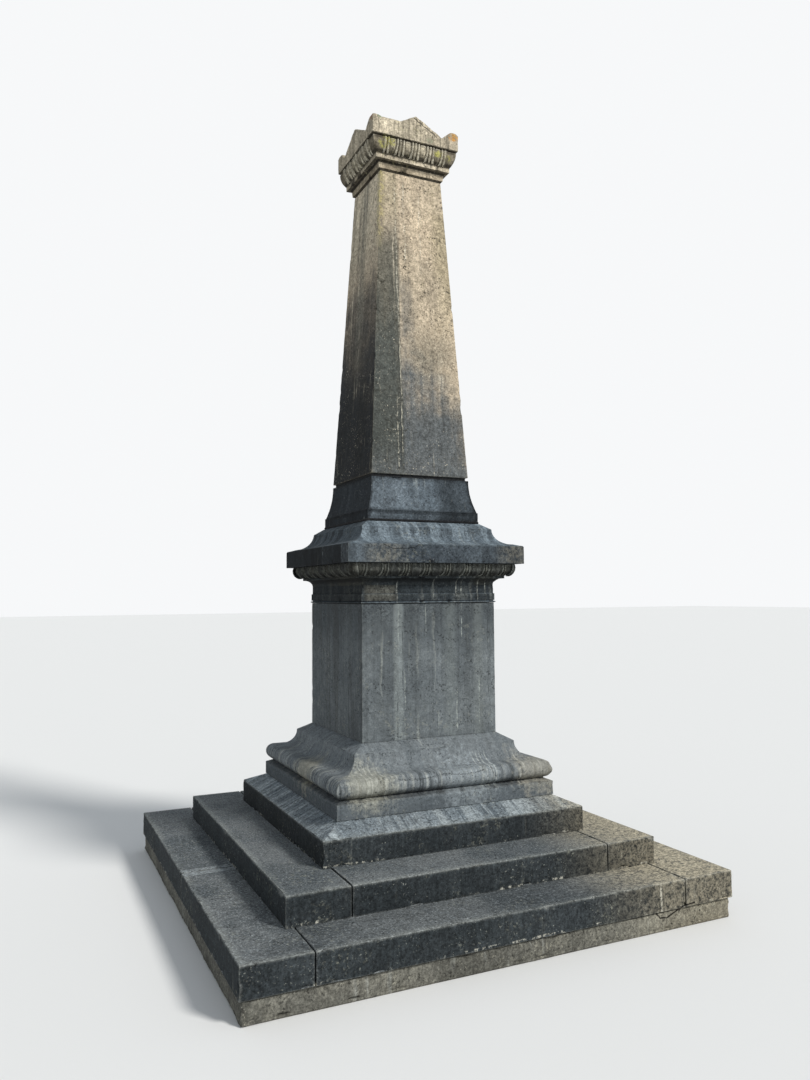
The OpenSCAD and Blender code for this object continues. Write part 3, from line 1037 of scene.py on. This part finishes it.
# The crack that leaves the bed of the lower step, dips into the footing and comes back, and
# the wider gap where it comes back, each with its width
BED_CRACKS = (
    ([(0.860, 0.112), (0.890, 0.078), (0.935, 0.070), (1.025, 0.102), (1.045, 0.120),
      (1.130, 0.127)], 0.006),
    ([(1.022, 0.094), (1.048, 0.126)], 0.012),
)
# How much wider they are in the rubble than in the step
WIDER_IN_RUBBLE = 7 / 6

# Place across the front, lowest and highest level, width, and whether the line is dark
DIE_VEINS = [
    (-0.190, 1.28, 1.62, 0.0050, True), (-0.222, 0.97, 1.25, 0.0055, True),
    (-0.215, 1.50, 1.77, 0.0045, False), (-0.175, 0.97, 1.36, 0.0040, False),
    (0.180, 0.99, 1.24, 0.0045, False), (0.215, 1.55, 1.76, 0.0040, False),
    (0.335, 1.02, 1.30, 0.0040, False), (0.050, 0.98, 1.12, 0.0035, False),
    (0.400, 1.20, 1.70, 0.0040, True), (-0.030, 1.60, 1.77, 0.0035, False),
]
# Places of the pale drips along the roll
ROLL_DRIPS = [-0.52, -0.49, -0.46, -0.41, 0.215, 0.245, 0.270, 0.305, 0.47, 0.50]
# The broken crack along the top of the roll
ROLL_CRACK = [(-0.330, 0.792), (-0.200, 0.783), (-0.050, 0.796), (0.100, 0.786), (0.230, 0.794)]
# Pale patches on the roll: middle, reach and colour
BASE_STAINS = [
    ((-0.50, -0.700, 0.800), 0.200, (168, 166, 150)),
    ((0.62, -0.700, 0.800), 0.240, (160, 155, 140)),
    ((-0.700, -0.10, 0.800), 0.180, (158, 153, 134)),
    ((0.10, -0.700, 0.78), 0.24, (146, 154, 158)),
]

# The crack where the cap meets the abacus
CAP_CRACK = [(-0.370, 2.119), (-0.310, 2.093), (-0.220, 2.097), (-0.170, 2.101), (-0.140, 2.120)]
# Places of the pale drips along the left side of the abacus
ABACUS_DRIPS = (-0.480, -0.570, -0.160)
# Place across the front, lowest and highest level of the pale drips under the carved row
FASCIA_DRIPS = [(-0.222, 1.79, 1.90), (0.020, 1.79, 1.93), (0.180, 1.79, 1.94),
                (0.215, 1.83, 1.94), (0.330, 1.79, 1.93), (0.385, 1.79, 1.92)]

# Place across the front, lowest and highest level and width of the pale lines
SHAFT_VEINS = [(-0.120, 2.70, 4.45, 0.0050), (-0.060, 3.95, 4.50, 0.0060),
               (0.050, 3.90, 4.45, 0.0035), (-0.150, 2.60, 3.05, 0.0045)]

# The crack under the right slope of the front gable
CROWN_CRACK = [(-0.035, 4.911), (0.150, 4.809)]
# Recesses of the capital darkened as painted shade: neck, cove and quirk
SHADED_RECESSES = [(4.552, 4.5615), (4.597, 4.611), (4.7365, 4.7445)]
# Patches of lichen on the small eggs and on the crown: middle, reach and colour
LICHEN_SPOTS = [
    ((-0.222, -0.305, 4.705), 0.042, GREEN_LICHEN),
    ((-0.165, -0.300, 4.715), 0.034, GREEN_LICHEN),
    ((0.160, -0.305, 4.700), 0.036, GREEN_LICHEN),
    ((0.236, -0.300, 4.690), 0.026, GREEN_LICHEN),
    ((0.255, -0.310, 4.846), 0.036, ORANGE_LICHEN),
    ((0.285, -0.310, 4.836), 0.030, ORANGE_LICHEN),
    ((0.290, -0.300, 4.862), 0.040, (178, 140, 84)),
    ((-0.310, -0.300, 4.860), 0.035, (150, 112, 92)),
    ((-0.255, -0.310, 4.868), 0.025, (98, 118, 92)),
    ((0.10, -0.31, 4.775), 0.030, (128, 134, 112)),
]


def step_limestone():
    f = Finish("step limestone", (70, 76, 79), (57, 63, 66), (40, 44, 46), 0.0)
    f.lay((f.upright, f.over("Dribble", 0.44, 0.62)), 0.38, (38, 42, 44))
    f.lay((f.upright, f.over("Streak", 0.44, 0.62)), 0.30, (50, 54, 56))
    # treads painted lighter than the risers: painted light from above
    f.lay("Level", 0.92, (116, 120, 121))
    f.lay((f.level, f.over("Blotch", 0.44, 0.62)), 0.6, (88, 94, 98))
    span = f.math("MAXIMUM", f.absolute(f.x), f.absolute(f.y))
    for edge, top in STEP_EDGES:
        rim = f.times(f.across(span, edge - 0.035, edge + 0.020, 0.014), f.band(top - 0.014, top))
        f.lay(rim, 0.45, (146, 150, 147))
    f.lay((f.level, f.out["Crust"]), 0.55, (70, 77, 81))
    f.lay((f.level, f.over("Mottle", 0.53, 0.62)), 0.50, (62, 68, 72))
    f.lay((f.level, f.over("Grain", 0.56, 0.64)), 0.55, (160, 165, 166))
    slope = f.times(f.level, f.band(0.545, 0.560))
    f.lay(slope, 0.45, (138, 149, 156))
    f.lay((slope, f.over("Comb", 0.50, 0.60)), 0.60, (74, 82, 88))
    f.lay((slope, f.over("Streak", 0.50, 0.60)), 0.50, (172, 180, 182))
    # risers darkened: painted shade
    f.dim(f.upright, 0.71)
    # the front of the lower tread darkened in blotches: painted dappled shade
    lower = f.times(f.level, f.below(0.30, 0.34), f.front)
    f.dim((lower, f.over("Blotch", 0.30, 0.60)), 0.78)
    # the right end of the steps paler and warmer in patches: painted sunlight
    grit = f.times(f.plus(f.out["Mottle"], f.out["Grain"]), 0.5)
    warm = f.times(f.step(f.x, 0.35, 1.20), f.step(grit, 0.36, 0.54))
    f.lay(warm, 0.66, (146, 138, 119))
    f.lay((warm, f.level), 0.66, (192, 182, 158))
    f.lay((f.upright, f.out["Dark drip"]), 0.35, (38, 42, 44))
    f.lay((f.upright, f.out["Pale drip"]), 0.20, (128, 128, 120))
    f.lay("Worn edge", 0.45, (150, 152, 148))
    # creases darkened: painted shade
    f.lay("Crevice shade", 0.55, (34, 36, 37))
    f.lay("Bright speck", 0.55, (168, 170, 160))
    f.lay("Lichen", 0.30, PALE_LICHEN)
    outer = f.math("LESS_THAN", f.x, -1.05)
    mortar = f.times(f.across(f.y, -0.145, -0.030, 0.006), outer, f.math("LESS_THAN", f.z, 0.27))
    f.lay((mortar, f.level, f.over("Mottle", 0.34, 0.44)), 0.8, (138, 144, 146))
    f.lay(f.vein(0.893, 0.13, 0.25, 0.010, 0.006, 2.0), 0.85, (206, 202, 186))
    patchy = f.times(f.upright, f.over("Mottle", 0.53, 0.58), f.over("Blotch", 0.48, 0.56))
    for bed in STEP_BEDS:
        f.lay((patchy, f.between(bed, bed + 0.013, 0.003)), 0.80, (176, 174, 162))
    for points, width in BED_CRACKS:
        f.lay(f.crack(points, width), 0.92, CRACK)
    # the left side of the upper riser darkened: painted shade
    f.dim((f.left, f.band(0.41, 0.415), f.upright), 0.62)
    return f.finish()


def rubble_mortar():
    f = Finish("rubble and mortar", (128, 126, 116), (104, 103, 96), (60, 60, 56), 3.1)
    f.lay("Crust", 0.6, (74, 74, 69))
    f.lay(f.over("Dribble", 0.44, 0.64), 0.4, (70, 70, 66))
    # the right end paler and warmer: painted sunlight
    f.lay(f.step(f.x, 0.5, 1.3), 0.5, (150, 142, 122))
    f.lay("Pale drip", 0.3, LIME)
    for points, width in BED_CRACKS:
        f.lay(f.crack(points, width * WIDER_IN_RUBBLE), 0.92, CRACK)
    f.lay((f.between(0.100, 0.112, 0.002), f.over("Blotch", 0.44, 0.56)), 0.8, (30, 30, 28))
    f.lay("Bright speck", 0.6, (178, 174, 158))
    f.lay("Lichen", 0.5, (160, 157, 142))
    # creases darkened: painted shade
    f.lay("Crevice shade", 0.7, (40, 39, 36))
    return f.finish(1.6)


def die_limestone():
    f = Finish("die limestone", (116, 122, 124), (98, 104, 107), (66, 70, 72), 7.7)
    die = f.between(*DIE, 0.002)
    base = f.below(0.962, 0.970)
    f.lay(base, 0.85, (122, 128, 131))
    f.lay((base, f.over("Streak", 0.46, 0.60)), 0.55, (90, 96, 100))
    f.lay((base, f.over("Comb", 0.52, 0.62)), 0.40, (88, 94, 97))
    roll = f.between(*ROLL, 0.006)
    f.lay((roll, f.over("Comb", 0.54, 0.59)), 0.60, (66, 70, 72))
    f.lay((roll, f.rest(f.over("Comb", 0.37, 0.44))), 0.60, (170, 173, 168))
    f.shade(f.out["Streak"], 0.32, 0.68, 0.72, 1.22)
    f.lay("Pale drip", 0.45, (160, 164, 158))
    f.lay("Dark drip", 0.40, (66, 70, 72))
    head = f.times(f.band(1.42, 1.76), die, f.over("Grain", 0.38, 0.60))
    f.lay(head, 0.82, (52, 57, 60))
    f.dim((die, f.over("Comb", 0.47, 0.58)), 0.90)
    f.dim(die, 0.92)
    # the left side darkened in streaks: stains, and painted shade
    f.lay((f.left, die, f.over("Streak", 0.42, 0.60)), 0.60, (56, 56, 56))
    foot = f.times(f.below(0.61, 0.74), f.out["Crust"])
    f.lay(foot, 0.45, (62, 67, 70))
    fillet = f.below(0.686, 0.692)
    f.lay(fillet, 0.62, (80, 87, 92))
    # the left side of the base's upright face darkened: painted shade
    f.dim((fillet, f.left), 0.72)
    # undersides and the band under the roll darkened: painted shade
    f.lay("Soffit shade", 0.6, (40, 43, 44))
    f.lay(f.between(0.690, 0.716, 0.006), 0.6, (30, 32, 33))
    bands = f.times(f.front, die)
    pale = f.across(f.x, -0.245, -0.185, 0.012)
    f.lay((bands, pale), 0.50, (140, 147, 146))
    f.lay((bands, f.across(f.x, 0.10, 0.17, 0.03)), 0.30, (132, 139, 138))
    f.lay((bands, f.across(f.x, 0.30, 0.36, 0.02)), 0.30, (130, 136, 134))
    for at, low, high, width, dark in DIE_VEINS:
        colour = (44, 48, 50) if dark else (164, 170, 164)
        f.lay(f.vein(at, low, high, width, 0.012, at * 31), 0.70, colour)
    for at in ROLL_DRIPS:
        line = f.vein(at, 0.70, 0.86, 0.0055, 0.010, at * 17)
        f.lay(line, 0.70, (186, 190, 184))
        line = f.vein(at * 0.8, 0.70, 0.86, 0.0055, 0.010, at * 23, left=True)
        f.lay(line, 0.45, (176, 176, 164))
    for at, reach, colour in BASE_STAINS:
        f.lay(f.spot(at, reach, 0.36), 0.50, colour)
    dashes = f.over("Grain", 0.46, 0.54)
    f.lay((dashes, f.crack(ROLL_CRACK, 0.005, 0.030)), 0.80, (34, 36, 37))
    f.lay("Worn edge", 0.35, (162, 167, 164))
    # crevices darkened: crust, and painted shade
    f.lay("Crevice shade", 0.65, CREVICE_SHADE_AND_CRUST)
    f.lay("Bright speck", 0.35, (160, 164, 156))
    f.lay("Lichen", 0.20, PALE_LICHEN)
    return f.finish(0.8, 0.55)


def dark_limestone():
    f = Finish("crusted limestone", (84, 92, 98), (66, 73, 79), (38, 42, 46), 12.3)
    f.lay("Crust", 0.62, (44, 49, 54))
    f.shade(f.out["Streak"], 0.32, 0.68, 0.62, 1.30)
    # the hollow, fillet and round under the abacus darkened: painted shade
    under = f.times(f.between(1.880, 2.012, 0.003), f.upright)
    f.lay(under, 0.60, (50, 53, 51))
    f.lay((under, f.over("Blotch", 0.50, 0.66)), 0.45, (92, 89, 76))
    ground = f.times(f.between(*LARGE_EGG_GROUND, 0.002), f.upright)
    f.lay(ground, 0.60, (98, 98, 90))
    # the large eggs painted dark: painted shade under the abacus
    f.lay(f.mark("egg"), 0.90, (22, 24, 24))
    f.lay((f.mark("egg"), f.over("Blotch", 0.52, 0.62)), 0.50, (84, 80, 66))
    f.lay(f.mark("rim"), 0.75, (112, 112, 102))
    fascia = f.between(*FASCIAS, 0.003)
    f.lay(fascia, 0.74, (42, 47, 49))
    f.lay((fascia, f.over("Streak", 0.52, 0.60)), 0.45, (86, 90, 88))
    f.lay((fascia, f.front, f.across(f.x, -0.43, -0.23, 0.02)), 0.42, (104, 101, 90))
    f.lay("Level", 0.60, (96, 108, 117))
    top = f.band(2.120, 2.128)
    f.lay(top, 0.45, (96, 106, 113))
    f.lay((top, f.over("Streak", 0.46, 0.54)), 0.62, (126, 138, 146))
    f.lay((top, f.over("Comb", 0.56, 0.64)), 0.35, (66, 73, 79))
    abacus = f.between(*ABACUS, 0.003)
    f.lay((abacus, f.over("Mottle", 0.54, 0.62)), 0.40, (56, 64, 70))
    # warm patches on the front of the abacus: painted sunlight
    for low, high in ((-0.46, -0.26), (0.42, 0.62)):
        patch = f.times(f.across(f.x, low, high, 0.07), f.over("Mottle", 0.34, 0.60))
        f.lay((abacus, f.front, patch), 0.48, (118, 113, 100))
    f.lay(f.crack(CAP_CRACK, 0.0035, 0.016), 0.85, (14, 16, 18))
    f.lay("Pale drip", 0.30, (146, 149, 144))
    for at, low, high in FASCIA_DRIPS:
        f.lay(f.vein(at, low, high, 0.0045, 0.005, at * 41), 0.75, (166, 168, 160))
    f.lay("Worn edge", 0.50, (140, 143, 138))
    # creases darkened: painted shade
    f.lay("Crevice shade", 0.85, (16, 18, 20))
    f.lay("Bright speck", 0.35, (140, 142, 136))
    f.lay("Lichen", 0.25, PALE_LICHEN)
    # undersides darkened: painted shade
    f.lay("Soffit shade", 0.7, (18, 19, 20))
    # the left side darkened, the abacus most: painted shade
    f.dim(f.left, 0.50)
    f.dim((f.left, abacus), 0.36)
    run = f.times(f.left, abacus, f.across(f.y, -0.625, -0.475, 0.010))
    f.lay(run, 0.40, (88, 94, 98))
    for at in ABACUS_DRIPS:
        f.lay(f.vein(at, 2.01, 2.12, 0.0050, 0.006, at * 37, left=True), 0.55, (128, 136, 138))
    return f.finish(0.8)


def foot_limestone():
    f = Finish("foot limestone", (98, 107, 114), (80, 89, 96), (40, 45, 50), 15.2)
    f.shade(f.out["Streak"], 0.32, 0.68, 0.66, 1.24)
    f.lay("Crust", 0.30, (62, 69, 75))
    # the left side darkened in streaks: stains, and painted shade
    f.lay((f.left, f.over("Streak", 0.32, 0.52)), 0.70, (36, 41, 46))
    f.lay(f.below(2.29, 2.32), 0.35, (48, 53, 57))
    f.lay(f.below(2.262, 2.275), 0.70, (20, 22, 24))
    # painted shade on the left side
    f.dim(f.left, 0.45)
    f.dim((f.front, f.step(f.x, 0.07, 0.16)), 0.55)
    f.lay("Dark drip", 0.45, (48, 53, 58))
    f.lay("Pale drip", 0.45, (156, 162, 160))
    f.lay("Worn edge", 0.40, (150, 154, 150))
    # creases darkened: painted shade
    f.lay("Crevice shade", 0.70, (24, 26, 28))
    f.lay("Bright speck", 0.40, (150, 152, 144))
    return f.finish(0.8)


def shaft_limestone():
    f = Finish("shaft limestone", (208, 190, 164), (182, 168, 146), (88, 88, 78), 17.9)
    # level of the boundary between the grey lower shaft, partly weathered stone and partly painted
    # shade of trees, and the pale upper shaft, partly painted sunlight: higher on the right of the
    # front, ragged elsewhere
    rise = f.plus(f.z, f.times(f.minus(f.out["Blotch"], 0.5), 1.5))
    rise = f.plus(rise, f.times(f.minus(f.out["Streak"], 0.5), 1.2))
    rise = f.plus(rise, f.times(f.x, f.front, 1.2))
    # the lower shaft painted grey: weathered stone, and painted shade
    low = f.rest(f.step(rise, 2.86, 3.62))
    f.lay(low, 0.92, (94, 101, 105))
    f.lay((low, f.over("Streak", 0.44, 0.60)), 0.50, (70, 77, 82))
    f.shade(f.out["Streak"], 0.30, 0.70, 0.74, 1.18)
    # a dark strip down the left of the front: stain, and painted shade of trees
    shade_edge = f.plus(f.x, f.times(f.minus(f.out["Streak"], 0.5), 0.10))
    stain_and_shade = f.rest(f.step(shade_edge, -0.125, -0.095))
    f.lay((f.front, stain_and_shade, f.between(2.62, 4.20, 0.22)), 0.86, (76, 79, 74))
    f.lay((f.front, stain_and_shade, f.band(4.15, 4.40)), 0.45, (134, 128, 104))
    # beige on the right of the front: painted sunlight
    right = f.times(f.front, f.step(f.x, 0.09, 0.20), f.band(3.30, 3.90))
    f.lay((right, f.over("Blotch", 0.36, 0.56)), 0.60, (134, 126, 100))
    # a darker spot: painted shade
    f.lay((f.front, f.spot((0.10, -0.28, 3.36), 0.22, 0.45)), 0.55, (100, 99, 90))
    # the left face dark below the boundary: painted shade; lighter above it: painted sunlight; its
    # stripes are stains and painted dappled light
    left_shade = f.times(f.left, f.rest(f.step(rise, 3.30, 4.60)))
    f.lay(left_shade, 0.88, (54, 57, 60))
    f.lay((f.left, f.band(3.7, 4.4)), 0.62, (204, 194, 172))
    f.lay((f.left, f.over("Streak", 0.46, 0.60)), 0.55, (48, 51, 52))
    f.dim((f.left, f.below(2.9, 3.9)), 0.42)
    # the bottom of the front darker: painted shade
    f.dim((f.front, f.below(2.9, 3.3)), 0.90)
    pale = f.times(f.left, f.across(f.y, -0.05, 0.06, 0.03), f.band(3.0, 3.9))
    f.lay(pale, 0.35, (132, 130, 118))
    near = f.step(f.minus(f.y, f.x), -0.10, 0.02)
    f.lay((f.left, f.rest(near), f.between(2.60, 4.10, 0.25)), 0.60, (66, 68, 66))
    for at, low_end, high_end, width in SHAFT_VEINS:
        line = f.vein(at, low_end, high_end, width, 0.016, at * 29)
        f.lay(line, 0.65, (198, 192, 174))
    f.lay(f.vein(-0.128, 2.60, 3.55, 0.007, 0.016, -3.48), 0.65, (40, 44, 46))
    f.lay("Dark drip", 0.35, (92, 88, 74))
    f.lay("Pale drip", 0.40, (214, 204, 182))
    f.lay("Worn edge", 0.30, (204, 194, 172))
    corner = f.rest(f.step(f.absolute(f.minus(f.x, f.y)), 0.012, 0.050))
    corner = f.times(corner, f.band(3.95, 4.30), f.math("LESS_THAN", f.x, 0.0))
    f.lay((corner, f.over("Mottle", 0.38, 0.60)), 0.65, (150, 140, 84))
    f.lay("Bright speck", 0.60, (228, 218, 196))
    f.lay((f.out["Lichen"], f.band(3.2, 3.8), f.step(f.x, -0.05, 0.12)), 0.6, (122, 112, 84))
    f.lay((f.out["Pit"], f.band(3.2, 3.8)), 0.8, (70, 64, 50))
    return f.finish()


def warm_limestone():
    f = Finish("weathered limestone", (222, 209, 184), (196, 183, 160), (94, 89, 76), 29.4)
    # the ground between the small eggs darkened: painted shade
    f.lay(f.between(*SMALL_EGG_GROUND), 0.62, (88, 81, 66))
    f.lay(f.mark("egg"), 0.82, (204, 193, 168))
    f.lay(f.mark("rim"), 0.85, (222, 212, 188))
    f.shade(f.out["Streak"], 0.32, 0.68, 0.72, 1.18)
    f.lay(f.over("Dribble", 0.46, 0.66), 0.45, (110, 103, 88))
    f.lay((f.band(CROWN_BED, CROWN_BED + 0.010), f.over("Comb", 0.50, 0.60)), 0.45, (104, 98, 85))
    f.lay("Crust", 0.30, (112, 106, 92))
    f.lay(f.between(*NECK_BAND, 0.002), 0.40, (142, 122, 96))
    # bands under the small eggs and under the crown bed darkened: painted shadow, broken by the
    # grain
    shade_breakup = f.over("Grain", 0.34, 0.56)
    f.lay((f.between(4.636, 4.660, 0.005), shade_breakup), 0.85, (30, 27, 21))
    f.lay((f.between(4.722, CROWN_BED, 0.006), shade_breakup), 0.75, (34, 30, 24))
    # the left side darkened: painted shade
    f.lay((f.left, f.band(CROWN_BED, CROWN_BED + 0.007)), 0.20, (120, 116, 104))
    f.lay((f.left, f.between(4.55, CROWN_BED, 0.002)), 0.45, (96, 90, 76))
    # painted shade in the recesses
    for low, high in SHADED_RECESSES:
        f.lay(f.between(low, high, 0.0015), 0.88, (20, 18, 15))
    f.lay("Dark drip", 0.40, (80, 76, 64))
    f.lay("Worn edge", 0.60, (214, 206, 186))
    f.lay((f.mark("rim"), f.between(4.640, 4.668, 0.004)), 0.80, (234, 226, 204))
    # creases darkened: painted shade
    f.lay("Crevice shade", 0.85, (24, 21, 17))
    # undersides darkened: painted shade
    f.lay("Soffit shade", 0.80, (34, 30, 24))
    f.lay("Bright speck", 0.55, (224, 216, 194))
    f.lay("Lichen", 0.35, (176, 168, 128))
    crumbs = f.step(f.plus(f.out["Grain"], f.out["Mottle"]), 0.92, 1.06)
    for at, reach, colour in LICHEN_SPOTS:
        f.lay((f.spot(at, reach, 0.34), crumbs), 0.85, colour)
    f.lay((f.upright, f.crack(CROWN_CRACK, 0.0045, 0.030)), 0.88, (24, 22, 18))
    # painted shade on the left side
    f.dim(f.left, 0.82)
    return f.finish()


# dark pointing of the bead, and painted shade in the groove of the shaft joint
def pointing_and_groove_shade():
    f = Finish("dark pointing and groove shade", (36, 37, 38), (26, 27, 29), (14, 15, 16), 23.0)
    f.lay("Worn edge", 0.3, (70, 71, 72))
    f.lay("Lichen", 0.2, (96, 96, 90))
    return f.finish()


MATERIALS = {
    "step_stone": step_limestone(),
    "rubble": rubble_mortar(),
    "die_limestone": die_limestone(),
    "dark_limestone": dark_limestone(),
    "shaft_limestone": shaft_limestone(),
    "foot_limestone": foot_limestone(),
    "warm_limestone": warm_limestone(),
    "pointing": pointing_and_groove_shade(),
}


def dress(obj, finish):
    obj.data.materials.clear()
    obj.data.materials.append(MATERIALS[finish])


for obj in steps:
    dress(obj, "rubble" if "core" in obj.name else "step_stone")
dress(footing, "rubble")
for node, _, finish, *_ in MOULDED:
    dress(moulded[node], finish)
dress(egg_rows[0], "dark_limestone")
dress(egg_rows[1], "warm_limestone")
dress(crown, "warm_limestone")


# Floor and light

FLOOR_SIZE = 160
# How far the floor lies under the lowest bed
FLOOR_GAP = 0.002
FLOOR_COLOUR = (0.80, 0.80, 0.79, 1.0)
SKY_COLOUR = (0.86, 0.93, 1.0, 1.0)
SKY_STRENGTH = 0.48
BACKDROP_COLOUR = (0.93, 0.94, 0.95, 1.0)
SUN_STRENGTH = 2.9
SUN_COLOUR = (1.0, 0.98, 0.945)
SUN_DIRECTION = Vector((-0.62, 1.0, -0.95))


def make_floor():
    deselect()
    bpy.ops.mesh.primitive_plane_add(size=FLOOR_SIZE, location=(0, 0, -FLOOR_GAP))
    floor = name_piece(bpy.context.object, "studio_floor")
    material = bpy.data.materials.new("pale floor")
    material.use_nodes = True
    shader = material.node_tree.nodes["Principled BSDF"]
    shader.inputs["Base Color"].default_value = FLOOR_COLOUR
    shader.inputs["Roughness"].default_value = 0.9
    floor.data.materials.append(material)


def make_light():
    world = bpy.data.worlds.new("soft studio")
    bpy.context.scene.world = world
    world.use_nodes = True
    s = Sketch(world.node_tree)
    world.node_tree.nodes.clear()
    output = s.add("ShaderNodeOutputWorld")
    glow = s.add("ShaderNodeBackground")
    s.feed(glow, Color=SKY_COLOUR, Strength=SKY_STRENGTH)
    backdrop = s.add("ShaderNodeBackground")
    s.feed(backdrop, Color=BACKDROP_COLOUR, Strength=1.0)
    path = s.add("ShaderNodeLightPath")
    seen = s.math("MAXIMUM", path.outputs["Is Camera Ray"], path.outputs["Is Glossy Ray"])
    choose = s.add("ShaderNodeMixShader")
    s.wire(seen, choose.inputs[0])
    s.wire(glow.outputs[0], choose.inputs[1])
    s.wire(backdrop.outputs[0], choose.inputs[2])
    s.feed(output, Surface=choose.outputs[0])
    bpy.ops.object.light_add(type="SUN", location=(3, -6, 9))
    sun = bpy.context.object
    sun.name = "key_light"
    sun.data.energy = SUN_STRENGTH
    sun.data.angle = math.radians(12)
    sun.data.color = SUN_COLOUR
    sun.rotation_euler = SUN_DIRECTION.to_track_quat("-Z", "Y").to_euler()


make_floor()
make_light()
bpy.context.scene.view_settings.view_transform = "Standard"
